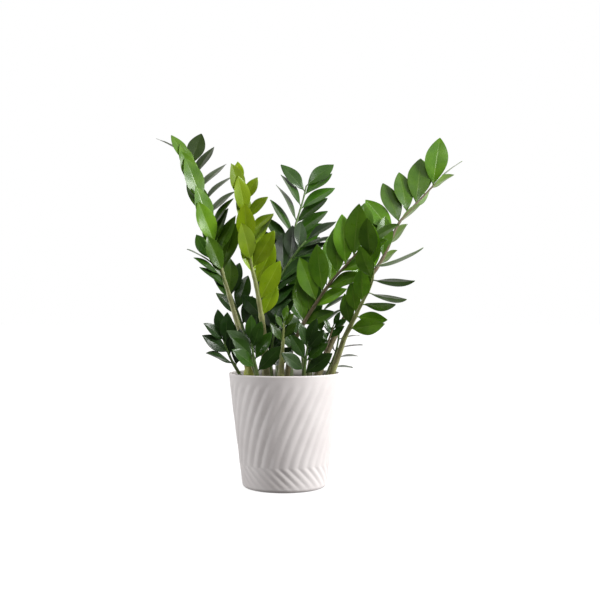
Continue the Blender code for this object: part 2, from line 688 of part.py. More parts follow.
def tuber_mesh(name, more=0.0):
    """A potato-like tuber whose crown stands just above the soil, larger all round by more."""
    bm = bmesh.new()
    bmesh.ops.create_uvsphere(bm, u_segments=14, v_segments=9, radius=1.0)
    place = tuber_place(name)
    middle = Vector((*place, soil_height(*place) + CROWN_ABOVE_SOIL - TUBER_HEIGHT / 2))
    for vert in bm.verts:
        lumps = 1 + TUBER_LUMPS * math.sin(3 * vert.co.x + 150 * place[0]) * math.cos(4 * vert.co.y)
        size = Vector((TUBER_RADIUS, TUBER_RADIUS, TUBER_HEIGHT / 2)) * lumps + Vector((more, more, more))
        vert.co = middle + vert.co * size
    return mesh_of(bm, name)


def sheath_mesh(more=0.0):
    """The pointed sheath: a grid bent round +Z and drawn in to its tip, given a thickness."""
    bm = bmesh.new()
    bmesh.ops.create_grid(bm, x_segments=4, y_segments=5, size=0.5)
    x, y = tuber_place(SHEATH_TUBER) + Vector(SHEATH_PLACE)
    foot = soil_height(x, y) - SHEATH_SET_IN - more
    for vert in bm.verts:
        across, up = vert.co.x, vert.co.y + 0.5
        turn = across * (SHEATH_WRAP + 2 * more / SHEATH_RADIUS) * (1.06 - up**2)
        radius = SHEATH_RADIUS * (1 - SHEATH_DRAWN_IN * up)
        facing = Matrix.Rotation(turn + SHEATH_FACING, 3, "Z") @ Vector((0, -radius, 0))
        vert.co = Vector((x, y, foot + up * (SHEATH_HEIGHT + more))) + facing
    return mesh_of(bm, "cataphyll")


def add_sheath(name, collection, more=0.0):
    sheath = add_object(name, sheath_mesh(more), collection)
    solidify = sheath.modifiers.new("thickness", "SOLIDIFY")
    solidify.thickness = SHEATH_THICKNESS + 2 * more
    solidify.offset = 0.0
    return sheath


def add_collection(name, parent):
    collection = bpy.data.collections.new(name)
    parent.children.link(collection)
    return collection


def add_plant(plant, cutters, pot):
    """The fronds, tubers, sheath and soil, each clear of what it stands in."""
    stalk_sockets = add_collection("stalk_sockets", cutters)
    soil_pockets = add_collection("soil_pockets", cutters)
    paths = {frond.name: frond_path(frond) for frond in FRONDS}
    for frond in FRONDS:
        socket = add_cutter(f"{frond.name}_socket", stalk_mesh(frond, paths[frond.name], GAP), stalk_sockets)
        soil_pockets.objects.link(socket)
    grown_tubers = []
    for name in TUBERS:
        tuber = add_object(name, tuber_mesh(name), plant, make_material(f"{name}_skin", TUBER_SKIN, 0.8))
        neighbours = add_collection(f"{name}_neighbours", cutters)
        for pocket in grown_tubers:
            neighbours.objects.link(pocket)
        add_boolean(tuber, stalk_sockets, "DIFFERENCE")
        if grown_tubers:
            add_boolean(tuber, neighbours, "DIFFERENCE")
        grown_tubers.append(add_cutter(f"{name}_pocket", tuber_mesh(name, GAP), soil_pockets))
    sheath = add_sheath("cataphyll", plant)
    sheath.data.materials.append(make_material("sheath", SHEATH_GREEN, 0.5))
    as_cutter(add_sheath("cataphyll_pocket", soil_pockets, GAP))
    soil = add_soil(plant)
    add_boolean(soil, soil_pockets, "DIFFERENCE")
    grown = grow(paths, [pot.data, soil.data, settled(sheath)])
    for frond in FRONDS:
        leaf_skin = make_material(f"{frond.name}_green", frond.colour, 0.35)
        stalk = add_object(frond.name, stalk_mesh(frond, paths[frond.name]), plant, leaf_skin)
        leaflets = add_collection(f"{frond.name}_leaflets", cutters)
        add_cutter(leaflets.name, leaflets_mesh(leaflets.name, grown[frond.name]), leaflets)
        add_boolean(stalk, leaflets, "UNION")


def main():
    for obj in list(bpy.data.objects):
        bpy.data.objects.remove(obj)
    plant = add_collection(COLLECTION_NAME, bpy.context.scene.collection)
    cutters = add_collection("cutters", bpy.context.scene.collection)
    add_plant(plant, cutters, add_pot(plant))


main()
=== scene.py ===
"""Looks of a potted ZZ plant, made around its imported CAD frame.

The frame is +Z up, in metres, with the origin at the centre of the pot's underside and -Y at the front.
The fronds grow here by the same rule as in the CAD, so that every fine leaflet lies where its CAD one does.
"""

import json
import math
import random
from functools import cache
from typing import NamedTuple

import bmesh
import bpy
import numpy as np
from mathutils import Matrix, Vector, noise
from mathutils.bvhtree import BVHTree


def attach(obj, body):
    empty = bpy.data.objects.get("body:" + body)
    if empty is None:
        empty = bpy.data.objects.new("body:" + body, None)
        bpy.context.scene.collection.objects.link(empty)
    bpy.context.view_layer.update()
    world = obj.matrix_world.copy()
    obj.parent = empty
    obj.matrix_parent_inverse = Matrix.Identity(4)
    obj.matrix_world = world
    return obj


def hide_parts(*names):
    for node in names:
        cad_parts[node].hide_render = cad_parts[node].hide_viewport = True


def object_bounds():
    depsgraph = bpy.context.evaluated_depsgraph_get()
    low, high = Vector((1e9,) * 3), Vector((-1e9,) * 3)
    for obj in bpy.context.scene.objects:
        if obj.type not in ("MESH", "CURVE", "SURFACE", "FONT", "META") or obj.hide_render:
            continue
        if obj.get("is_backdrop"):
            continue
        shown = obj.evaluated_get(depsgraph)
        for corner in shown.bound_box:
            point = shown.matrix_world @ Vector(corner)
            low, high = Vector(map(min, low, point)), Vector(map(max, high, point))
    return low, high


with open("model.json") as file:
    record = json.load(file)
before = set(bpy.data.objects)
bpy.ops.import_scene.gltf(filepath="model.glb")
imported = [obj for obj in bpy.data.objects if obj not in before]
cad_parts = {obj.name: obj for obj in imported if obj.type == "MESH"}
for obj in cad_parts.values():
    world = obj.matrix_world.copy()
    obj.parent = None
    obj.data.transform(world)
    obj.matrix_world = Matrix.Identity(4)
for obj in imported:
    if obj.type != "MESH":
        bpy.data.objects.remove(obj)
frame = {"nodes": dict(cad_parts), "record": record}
CAD_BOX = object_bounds()

# Pot
POT_HEIGHT = 0.245
POT_RIM_RADIUS = 0.120
POT_BASE_RADIUS = 0.090
POT_WALL = 0.006
POT_FLOOR = 0.010
POT_FOOT_ROUND = 0.009
POT_LIP_ROUND = 0.0025
POT_FLOOR_ROUND = 0.005
RIDGE_COUNT = 30
RIDGE_DEPTH = 0.0014
RIDGE_BAND = 0.014  # plain band under the rim
RIDGE_HOOK = 0.052  # height where the ridges turn back
RIDGE_LEAN = math.radians(42)  # turn of a ridge from the hook to the band
RIDGE_KICK = math.radians(32)  # turn of a ridge from the hook down to the foot
RIDGE_BEND = 1.2  # exponent: above 1, a ridge is steepest near the hook
RIDGE_FADE = 0.014  # height over which the ridges fade out into the band

# Soil and tubers
SOIL_DEPTH_BELOW_RIM = 0.024
SOIL_MOUND = 0.006
SOIL_WAVE = 0.0015
SOIL_WAVES_PER_METRE = (46, 52)  # in radians, along X and Y
SOIL_WAVE_STARTS = (1.0, -0.6)
TUBER_RADIUS = 0.036
TUBER_HEIGHT = 0.050
CROWN_ABOVE_SOIL = 0.004
TUBER_LUMPS = 0.05
TUBER_CLEARANCE = 0.0005  # to the pot's wall
STALK_SOCKET = 0.010  # how deep a stalk stands in its tuber
GAP = 0.0003  # between pieces that touch
WELD_DISTANCE = 0.00001
CURVE_STEPS = 12  # between two given points of a smooth path

# Fronds
STALK_RADIUS = 0.0075
RACHIS_TIP_RADIUS = 0.0016
STALK_TAPER = 1.25  # exponent: above 1, it thins fastest low down
FOOT_SWELLING = 0.35  # how much wider a stalk is at its foot
FOOT_SHARE = 0.18  # how much of its length the swelling takes
LEAFLET_WIDTH_SHARE = 0.46  # a leaflet's width over its length
LEAFLET_THICKNESS = 0.0014
LEAFLET_BEND = 0.13  # how far a blade arches back, as a share of its length
LEAFLET_FOLD = 0.16  # how steeply its halves rise from the midrib
LEAFLET_CLEARANCE = 0.0006
OUTLINE_WIDEST = 1.05  # exponent: above 1, a blade is widest past its middle
OUTLINE_ROUND = 0.85  # exponent: under 1, its ends are fuller
STALKLET_HALF_WIDTH = 0.0014
STALKLET_LENGTH = 0.003
BLADE_SHARES = (0.0, 0.3, 0.6, 0.85)  # where its sections are, before the tip
RACHIS_STEP = 0.030
UNEVENNESS = 5.0  # degrees, how far a leaflet strays from its row's rule
LENGTH_SPREAD = (0.94, 1.06)  # how much shorter or longer it is
NUDGE_TURNS = (7, 14, 21, 28)  # degrees that a leaflet turns aside from what it meets
NUDGE_LENGTHS = (1.0, 0.88, 0.76, 0.64)  # and how much of its length it keeps

# The sheath at the front left
SHEATH_TUBER = "rhizome_left"
SHEATH_PLACE = (-0.008, -0.033)  # from its tuber's middle
SHEATH_HEIGHT = 0.054
SHEATH_SET_IN = 0.006
SHEATH_RADIUS = 0.015
SHEATH_WRAP = math.radians(150)
SHEATH_FACING = math.radians(-20)
SHEATH_THICKNESS = 0.0012
SHEATH_DRAWN_IN = 0.35  # how much nearer its axis the tip is


class Row(NamedTuple):
    """One side's leaflets. Each tuple runs evenly from the row's lowest leaflet to its highest."""

    count: int
    span: tuple  # where the row starts and ends, as shares of the rachis
    reach: tuple  # degrees between a leaflet and the rachis
    lift: tuple  # degrees out of the frond's plane, towards its face
    twist: tuple  # degrees: 0 lies in the frond's plane, 90 looks along the rachis
    length: tuple  # millimetres


class Frond(NamedTuple):
    name: str
    thickness: float  # share of STALK_RADIUS
    tuber: str  # the one that it grows from or beside
    face: tuple  # the way the frond's upper side looks
    end: tuple  # reach, lift and twist of the leaflet at the tip
    foot: tuple  # millimetres from the tuber's middle
    path: tuple  # on to the tip, in millimetres from the tuber's middle and up from the rim
    right: Row
    left: Row
    leaf: str  # a kind of LEAFAGES
    stalk: str  # a kind of STALKS
    painted_row_shades: tuple  # how bright the right and the left row are drawn: painted shade and painted light


FRONDS = (
    Frond(
        "frond_left_tall", 1.0, "rhizome_left", (0.30, -0.95, 0.0), (30, 180, 60), (-2, -6),
        (
            (-11, -6, 4), (-27, -2, 73), (-55, 8, 168), (-85, 20, 268), (-111, 32, 354),
            (-134, 42, 418), (-148, 50, 458), (-158, 54, 478),
        ),
        Row(
            11, (0.37, 0.94), (20, 22, 48, 58, 60, 56, 34), (30, 34, 6, 0, 0),
            (10, 18, 40, 58, 64, 66, 66, 66, 66, 4), (82, 108, 84, 94, 94, 94),
        ),
        Row(9, (0.47, 0.95), (22, 16, 14), (70, 80, 80), (10, 14, 16), (92, 106, 100, 70)),
        "mid", "olive", (0.45, 1.25),
    ),
    Frond(
        "frond_lime", 1.1, "rhizome_front", (0.25, -0.97, 0.0), (16, -60, 20), (-40, 8),
        (
            (-42, 4, 5), (-45, -4, 74), (-51, -12, 124), (-61, -24, 186), (-72, -34, 233),
            (-80, -46, 286), (-83, -58, 339), (-91, -66, 382),
        ),
        Row(
            8, (0.35, 0.93), (34, 40, 36, 50, 48, 36), (20, 24, 26, 16, 12), (24, 18, 24, 74, 70, 20),
            (80, 98, 96, 66, 56),
        ),
        Row(6, (0.56, 0.94), (8, 10, 16), (84, 84, 70), (12, 16, 16), (90, 94, 76)),
        "lime", "olive", (1.1, 1.1),
    ),
    Frond(
        "frond_back_centre", 0.9, "rhizome_back", (0.2, -1.0, 0.15), (34, 10, 24), (-18, -20),
        ((-20, -4, 45), (-12, 18, 180), (14, 46, 312), (34, 64, 385), (42, 72, 420)),
        Row(9, (0.34, 0.95), (44, 40, 30, 34), (12, 10), (20, 40, 16, 44, 54, 40), (90, 108, 104, 88)),
        Row(
            9, (0.32, 0.97), (40, 46, 38, 52), (24, 10, 20, 12), (10, 50, 16, 52, 54, 10),
            (96, 106, 96, 86),
        ),
        "deep", "green", (1.2, 0.7),
    ),
    Frond(
        "frond_back_diagonal", 0.8, "rhizome_back", (-0.5, -0.85, 0.3), (14, 0, 20), (-48, -34),
        ((-52, -32, 55), (-38, -28, 155), (-8, -22, 220), (20, -18, 263), (40, -14, 287)),
        Row(8, (0.30, 0.94), (44, 40, 38), (12, 8), (14, 36, 20, 44), (84, 100, 88)),
        Row(8, (0.32, 0.92), (46, 36, 30), (12, 8), (20, 44, 20, 50), (84, 98, 80)),
        "dark", "green", (0.9, 0.8),
    ),
    Frond(
        "frond_centre_right", 0.8, "rhizome_front", (-0.35, -0.9, 0.25), (10, 0, 30), (0, 30),
        (
            (3, 24, 5), (12, 14, 52), (33, 4, 100), (59, -9, 143), (91, -26, 190), (123, -42, 226),
            (146, -54, 251), (165, -64, 270),
        ),
        Row(5, (0.38, 0.90), (30, 24, 20), (-26, -10, -20), (10, 30, 20), (72, 84, 76)),
        Row(
            9, (0.40, 0.96), (40, 50, 44, 50, 38), (14, 24, 10, 16, 12),
            (60, 20, 46, 10, 48, 14, 40, 12, 20), (84, 104, 92, 116, 100, 116, 96),
        ),
        "fresh", "brown", (0.9, 1.0),
    ),
    Frond(
        "frond_right_front", 1.1, "rhizome_right", (-0.25, -0.95, 0.3), (6, 20, 10), (14, -12),
        (
            (29, -18, -5), (48, -34, 46), (58, -48, 77), (71, -66, 105), (90, -94, 147),
            (107, -124, 184), (111, -148, 214), (104, -164, 237),
        ),
        Row(
            6, (0.44, 0.94), (50, 60, 62, 74, 90), (6, 0, 0, -10), (6, 10, -38, -46, -38, -44),
            (88, 70, 86, 92, 104),
        ),
        Row(6, (0.46, 0.94), (30, 26, 16), (24, 40), (24, 30, 10), (70, 84, 90)),
        "fresh", "olive", (1.05, 1.2),
    ),
    Frond(
        "frond_right_tall", 1.0, "rhizome_right", (-0.35, -0.9, 0.3), (2, 0, 60), (-4, 10),
        (
            (12, 16, 17), (52, 26, 101), (100, 36, 179), (147, 46, 250), (182, 58, 325),
            (218, 70, 367), (248, 79, 398), (278, 87, 430),
        ),
        Row(5, (0.54, 0.94), (20, 16, 12), (-84, -84), (90, 90, 90), (66, 76, 70)),
        Row(
            11, (0.42, 0.96), (36, 46, 50, 62, 50, 34, 18), (34, 14), (34, 18, 44, 14, 30, 10, 10),
            (84, 98, 92, 104, 112, 114),
        ),
        "fresh", "brown", (1.1, 0.9),
    ),
    Frond(
        "frond_back_left", 0.8, "rhizome_left", (0.4, -0.8, 0.4), (6, 0, 30), (-6, 56),
        ((-10, 62, 22), (-36, 78, 113), (-70, 90, 195), (-104, 98, 248)),
        Row(5, (0.44, 0.92), (36, 28), (24, 10), (10, 44, 16), (80, 86, 72)),
        Row(5, (0.52, 0.96), (34, 24), (24, 10), (8, 30, 50), (74, 78, 70)),
        "deep", "green", (0.8, 0.8),
    ),
    Frond(
        "frond_back_right", 0.9, "rhizome_back", (-0.2, -0.5, 0.8), (6, 0, 30), (44, -2),
        ((56, 18, 45), (76, 56, 145), (98, 96, 205), (118, 136, 245)),
        Row(6, (0.40, 0.93), (52, 48, 42), (16, 12), (40, 46), (74, 86, 66)),
        Row(6, (0.44, 0.96), (52, 48, 42), (16, 12), (40, 46), (74, 86, 66)),
        "deep", "green", (1.0, 1.0),
    ),
    Frond(
        "frond_back_tall", 0.9, "rhizome_back", (0.1, -0.4, 0.9), (6, 0, 30), (6, 12),
        ((4, 32, 55), (-10, 72, 155), (-20, 118, 235), (-28, 162, 285)),
        Row(6, (0.38, 0.93), (52, 48, 42), (16, 12), (40, 46), (76, 88, 66)),
        Row(6, (0.42, 0.96), (52, 48, 42), (16, 12), (40, 46), (76, 88, 66)),
        "deep", "green", (1.0, 1.0),
    ),
    Frond(
        "frond_low_left", 0.6, "rhizome_left", (0.3, -0.9, 0.4), (6, 0, 30), (-20, -14),
        ((-32, -18, 1), (-48, -26, 31), (-60, -32, 61), (-64, -36, 77)),
        Row(3, (0.40, 0.88), (40, 26), (20, 34), (10, 40, 16), (80, 66)),
        Row(3, (0.46, 0.94), (38, 22), (24, 10), (50, 14, 30), (78, 60)),
        "dark", "green", (0.8, 0.8),
    ),
    Frond(
        "frond_low_middle", 0.7, "rhizome_left", (0.1, -0.9, 0.4), (6, 0, 30), (12, -58),
        ((8, -66, 5), (2, -76, 39), (-2, -82, 67)),
        Row(3, (0.36, 0.88), (48, 28), (20, 34), (14, 50, 20), (76, 62)),
        Row(3, (0.46, 0.92), (40, 24), (30, 16), (44, 16, 30), (74, 58)),
        "deep", "green", (0.85, 0.7),
    ),
    Frond(
        "frond_young_thick", 1.25, "rhizome_front", (0.1, -1.0, 0.2), (6, 0, 30), (-12, -12),
        ((-10, -16, 5), (-6, -20, 65), (-4, -22, 107)),
        Row(2, (0.76, 0.94), (34, 26), (20, 20), (30, 40), (46, 38)),
        Row(2, (0.70, 0.90), (34, 26), (20, 20), (30, 40), (48, 38)),
        "fresh", "olive", (0.6, 0.6),
    ),
    Frond(
        "frond_low_front", 0.7, "rhizome_front", (0.1, -0.9, 0.4), (6, 0, 30), (34, 0),
        ((38, -10, 5), (42, -18, 39), (46, -24, 63)),
        Row(3, (0.32, 0.90), (46, 26), (20, 30), (20, 50, 16), (74, 58)),
        Row(3, (0.40, 0.92), (50, 26), (30, 16), (46, 10, 30), (74, 58)),
        "deep", "green", (0.7, 0.7),
    ),
    Frond(
        "frond_low_centre", 0.6, "rhizome_left", (-0.1, -0.9, 0.4), (6, 0, 30), (34, 0),
        ((34, -4, 13), (38, -10, 59), (46, -14, 95)),
        Row(3, (0.34, 0.90), (48, 26), (20, 34), (16, 50, 20), (80, 62)),
        Row(3, (0.44, 0.93), (44, 24), (30, 16), (50, 12, 34), (78, 60)),
        "dark", "green", (0.75, 0.75),
    ),
    Frond(
        "frond_low_back", 0.7, "rhizome_back", (0.1, -0.8, 0.5), (6, 0, 30), (-36, 4),
        ((-38, -4, 40), (-34, -12, 100), (-26, -18, 150)),
        Row(4, (0.28, 0.90), (50, 26), (16, 30), (16, 50, 20), (88, 70)),
        Row(4, (0.36, 0.94), (46, 24), (30, 16), (50, 14, 40), (86, 66)),
        "dark", "green", (0.8, 0.8),
    ),
    Frond(
        "frond_low_inner", 0.7, "rhizome_right", (0.0, -0.8, 0.5), (6, 0, 30), (-26, 22),
        ((-30, 30, 40), (-30, 36, 100), (-22, 40, 150)),
        Row(4, (0.30, 0.90), (48, 26), (30, 16), (44, 14, 30), (84, 66)),
        Row(4, (0.38, 0.94), (50, 24), (16, 34), (14, 48, 20), (84, 64)),
        "deep", "green", (0.7, 0.7),
    ),
    Frond(
        "frond_thin_inner", 0.5, "rhizome_right", (0.1, -0.9, 0.4), (6, 0, 30), (-8, -24),
        ((8, -26, 19), (26, -26, 73), (34, -26, 99)),
        Row(2, (0.80, 0.95), (34, 30), (16, 16), (30, 30), (44, 40)),
        Row(2, (0.74, 0.90), (50, 40), (16, 16), (30, 30), (40, 36)),
        "deep", "brown", (0.8, 0.8),
    ),
    Frond(
        "frond_low_right", 0.6, "rhizome_right", (-0.1, -0.3, 0.9), (6, 0, 30), (18, 30),
        ((27, 33, 2), (42, 42, 39), (48, 46, 67), (50, 48, 79)),
        Row(4, (0.34, 0.92), (74, 72, 70), (4, 4), (64, 72), (62, 68, 56)),
        Row(3, (0.40, 0.95), (60, 56), (10, 10), (60, 60), (50, 44)),
        "dark", "green", (1.2, 0.8),
    ),
)

TUBERS = {
    "rhizome_left": (-0.912, -0.285),
    "rhizome_front": (0.057, -0.940),
    "rhizome_right": (0.997, 0.057),
    "rhizome_back": (0.085, 0.769),
}  # where each stands, as shares of the room that the pot leaves it


class Leaflet(NamedTuple):
    root: Vector  # on the rachis's axis
    along: Vector  # from the rachis to the tip
    face: Vector  # out of the upper side
    length: float
    bare: float  # from the axis to the foot of the blade
    place: float  # as a share of the rachis
    side: int


def along_row(values, share):
    """The value at a share of the way along evenly spaced values."""
    return float(np.interp(share, np.linspace(0, 1, len(values)), values))


def metres(millimetres):
    return [value / 1000 for value in millimetres]


def smooth_path(points, step):
    """Points about a step apart on a Catmull-Rom curve through the given ones."""
    knots = [Vector(p) for p in points]
    knots = [2 * knots[0] - knots[1]] + knots + [2 * knots[-1] - knots[-2]]
    fine = []
    for a, b, c, d in zip(knots, knots[1:], knots[2:], knots[3:]):
        for t in np.linspace(0, 1, CURVE_STEPS, endpoint=False):
            ahead = (c - a) * t + (2 * a - 5 * b + 4 * c - d) * t**2 + (3 * b - a - 3 * c + d) * t**3
            fine.append(b + ahead / 2)
    fine.append(knots[-2])
    travelled = np.concatenate([[0], np.cumsum([(q - p).length for p, q in zip(fine, fine[1:])])])
    stops = np.linspace(0, travelled[-1], max(4, round(travelled[-1] / step)) + 1)
    return [Vector([float(np.interp(s, travelled, [p[i] for p in fine])) for i in range(3)]) for s in stops]


def frond_path(frond, step=RACHIS_STEP):
    """The smooth path of a frond, whose foot is set in the tubers' crowns."""
    middle = Vector((*tuber_place(frond.tuber), POT_HEIGHT))
    x, y = middle.xy + Vector(metres(frond.foot))
    foot = (x, y, soil_height(x, y) + CROWN_ABOVE_SOIL - STALK_SOCKET)
    return smooth_path((foot, *(middle + Vector(metres(point)) for point in frond.path)), step)


def point_at(path, share):
    """The point and the direction at a share of the path's length."""
    place = share * (len(path) - 1)
    i = min(int(place), len(path) - 2)
    return path[i].lerp(path[i + 1], place - i), (path[i + 1] - path[i]).normalized()


def stalk_radius(frond, share):
    """Swollen at the foot, then an even taper to the tip."""
    full = STALK_RADIUS * frond.thickness
    swelling = FOOT_SWELLING * full * max(0.0, 1 - share / FOOT_SHARE) ** 2
    return RACHIS_TIP_RADIUS + (full - RACHIS_TIP_RADIUS) * (1 - share) ** STALK_TAPER + swelling


def outline(share):
    """A blade's half width at a share of its length, as a share of its greatest."""
    return math.sin(math.pi * share**OUTLINE_WIDEST) ** OUTLINE_ROUND if 0 < share < 1 else 0.0


def half_width(leaflet, share):
    return max(STALKLET_HALF_WIDTH, leaflet.length * LEAFLET_WIDTH_SHARE / 2 * outline(share))


def spine(leaflet, share):
    """A point of the midrib, which arches back towards the tip. A share under 0 lies on the stalklet."""
    ahead = leaflet.along * (leaflet.bare + leaflet.length * share)
    return leaflet.root + ahead - leaflet.face * LEAFLET_BEND * leaflet.length * max(0.0, share) ** 2


def leaflet_sections(leaflet, shares, swell):
    """The left edge, ridge, right edge and keel of the blade at each share of its length, and its tip."""
    across = leaflet.along.cross(leaflet.face)
    up = leaflet.face * (LEAFLET_THICKNESS / 2 + swell)
    sections = []
    for share in shares:
        half = half_width(leaflet, share) + swell
        side = across * half
        rise = leaflet.face * half * LEAFLET_FOLD
        middle = spine(leaflet, share)
        sections.append((middle - side + rise, middle + up, middle + side + rise, middle - up))
    return sections, spine(leaflet, 1.0) + leaflet.along * swell


def loft_leaflet(bm, leaflet, swell, rooted):
    """Lofts a closed blade, lens-shaped in section, from its foot, or from its root, to its tip."""
    sections, tip = leaflet_sections(leaflet, BLADE_SHARES, swell)
    if rooted:
        inwards = -leaflet.along * leaflet.bare
        sections.insert(0, tuple(point + inwards for point in sections[0]))
    rings = [[bm.verts.new(point) for point in section] for section in sections]
    end = bm.verts.new(tip)
    bm.faces.new(rings[0])
    for lower, upper in zip(rings, rings[1:]):
        for i in range(4):
            j = (i + 1) % 4
            bm.faces.new((lower[j], lower[i], upper[i], upper[j]))
    for i in range(4):
        bm.faces.new((rings[-1][(i + 1) % 4], rings[-1][i], end))


def leaflets_mesh(name, leaflets, swell=0.0, rooted=True):
    bm = bmesh.new()
    for leaflet in leaflets:
        loft_leaflet(bm, leaflet, swell, rooted)
    return closed_mesh(bm, name)


def tree_of(mesh):
    return BVHTree.FromPolygons([v.co for v in mesh.vertices], [p.vertices[:] for p in mesh.polygons])


def nudges():
    """Small turns that a leaflet tries in order, the least first, and then the same ones shorter."""
    turns = [(0, 0)]
    for size in NUDGE_TURNS:
        turns += [(0, size), (0, -size), (size, 0), (-size, 0)]
        turns += [(size, size), (-size, size), (size, -size), (-size, -size)]
    return [(reach, lift, share) for share in NUDGE_LENGTHS for reach, lift in turns]


def set_leaflet(frond, path, share, side, angles, length):
    """A leaflet at a share of the rachis, from its reach, lift and twist in degrees."""
    bare = stalk_radius(frond, share) + STALKLET_LENGTH
    reach, lift, twist = (math.radians(a) for a in angles)
    root, ahead = point_at(path, share)
    face = Vector(frond.face)
    face = (face - ahead * face.dot(ahead)).normalized()
    sideways = ahead.cross(face) * side
    along = ahead * math.cos(reach) + (sideways * math.cos(lift) + face * math.sin(lift)) * math.sin(reach)
    flat = (face - along * face.dot(along)).normalized()
    upright = ahead - along * ahead.dot(along)
    upright = (upright - flat * upright.dot(flat)).normalized()
    face = flat * math.cos(twist) + upright * math.sin(twist)
    return Leaflet(root, along, face, length - bare, bare, share, side)


def frond_leaflets(frond, path, is_free):
    """Sets the leaflets of both rows and the end one, each turned aside until it is clear."""
    dice = random.Random(frond.name)
    shortest = min(frond.right.length[-1], frond.left.length[-1])
    wanted = [(1.0, 1, frond.end, shortest / 1000)]
    for side, row in ((1, frond.right), (-1, frond.left)):
        for i in range(row.count):
            share = i / max(1, row.count - 1)
            angles = [along_row(v, share) + dice.uniform(-UNEVENNESS, UNEVENNESS) for v in row[2:5]]
            length = along_row(metres(row.length), share) * dice.uniform(*LENGTH_SPREAD)
            wanted.append((along_row(row.span, share), side, angles, length))
    for place, side, (reach, lift, twist), length in wanted:
        for more_reach, more_lift, share in nudges():
            angles = (reach + more_reach, lift + more_lift, twist)
            leaflet = set_leaflet(frond, path, place, side, angles, length * share)
            if is_free(leaflet):
                yield leaflet
                break


def grow(paths, obstacles):
    """The leaflets of every frond, none of which meets another frond or an obstacle."""
    stalks = {f.name: tree_of(stalk_mesh(f, paths[f.name], LEAFLET_CLEARANCE)) for f in FRONDS}
    trees = [tree_of(mesh) for mesh in obstacles]
    grown = {}
    for frond in FRONDS:
        others = [tree for name, tree in stalks.items() if name != frond.name]

        def is_free(leaflet, others=others):
            tree = tree_of(leaflets_mesh("trial", [leaflet], LEAFLET_CLEARANCE, rooted=False))
            if any(tree.overlap(other) for other in trees + others):
                return False
            trees.append(tree)
            return True

        grown[frond.name] = list(frond_leaflets(frond, paths[frond.name], is_free))
    return grown


def stalk_mesh(frond, path, more=0.0):
    """The stalk and rachis as a tapered tube with welded caps, wider all round and deeper by more."""
    curve = bpy.data.curves.new(frond.name, "CURVE")
    curve.dimensions = "3D"
    curve.bevel_depth = 1.0
    curve.bevel_resolution = 1
    curve.use_fill_caps = True
    spline = curve.splines.new("POLY")
    spline.points.add(len(path) - 1)
    for i, place in enumerate(path):
        spline.points[i].co = (*place, 1.0)
        spline.points[i].radius = stalk_radius(frond, i / (len(path) - 1)) + more
    spline.points[0].co.z -= more
    tube = linked(frond.name, curve)
    bm = bmesh.new()
    bm.from_mesh(settled(tube))
    bpy.data.objects.remove(tube)
    bmesh.ops.remove_doubles(bm, verts=bm.verts, dist=WELD_DISTANCE)
    return closed_mesh(bm, frond.name)


def mesh_of(bm, name):
    mesh = bpy.data.meshes.new(name)
    bm.to_mesh(mesh)
    bm.free()
    return mesh


def closed_mesh(bm, name):
    """The mesh in triangles that face outwards."""
    bmesh.ops.triangulate(bm, faces=bm.faces)
    bmesh.ops.recalc_face_normals(bm, faces=bm.faces)
    return mesh_of(bm, name)


def linked(name, data):
    """A new object in the scene."""
    obj = bpy.data.objects.new(name, data)
    bpy.context.scene.collection.objects.link(obj)
    return obj


def settled(obj):
    """The object's evaluated mesh as a new one."""
    bpy.context.view_layer.update()
    return bpy.data.meshes.new_from_object(obj.evaluated_get(bpy.context.evaluated_depsgraph_get()))


def wall_radius(height):
    """The pot's outer radius at a height, before its ridges and its rounded foot."""
    return POT_BASE_RADIUS + (POT_RIM_RADIUS - POT_BASE_RADIUS) * height / POT_HEIGHT


def ridge_turn(height):
    """How far a ridge has turned at a height: it leans one way above the hook and the other way below."""
    above = (height - RIDGE_HOOK) / (POT_HEIGHT - RIDGE_HOOK)
    below = (RIDGE_HOOK - height) / RIDGE_HOOK
    return RIDGE_LEAN * above**RIDGE_BEND if above > 0 else RIDGE_KICK * below


def ridge_height(height):
    """The ridges' depth at a height, faded out at the band and at the foot."""
    band = POT_HEIGHT - RIDGE_BAND
    top = np.interp(height, (band - RIDGE_FADE, band), (1, 0))
    foot = np.interp(height, (0, 2 * POT_FOOT_ROUND), (0, 1))
    return RIDGE_DEPTH * top * foot


def soil_height(x, y):
    """The height of the soil's surface, mounded in the middle and a little uneven."""
    far = math.hypot(x, y) / (wall_radius(POT_HEIGHT) - POT_WALL)
    (x_waves, y_waves), (x_start, y_start) = SOIL_WAVES_PER_METRE, SOIL_WAVE_STARTS
    waves = math.sin(x_waves * x + x_start) * math.cos(y_waves * y + y_start)
    return POT_HEIGHT - SOIL_DEPTH_BELOW_RIM + SOIL_MOUND * (1 - far**2) + SOIL_WAVE * waves


def tuber_place(name):
    """The middle of a tuber, within what the pot's wall leaves free at the tuber's own height."""
    height = POT_HEIGHT - SOIL_DEPTH_BELOW_RIM + CROWN_ABOVE_SOIL - TUBER_HEIGHT / 2
    room = wall_radius(height) - POT_WALL - TUBER_CLEARANCE - TUBER_RADIUS * (1 + TUBER_LUMPS)
    return Vector(TUBERS[name]) * room


# ---------------------------------------------------------------- fine fronds

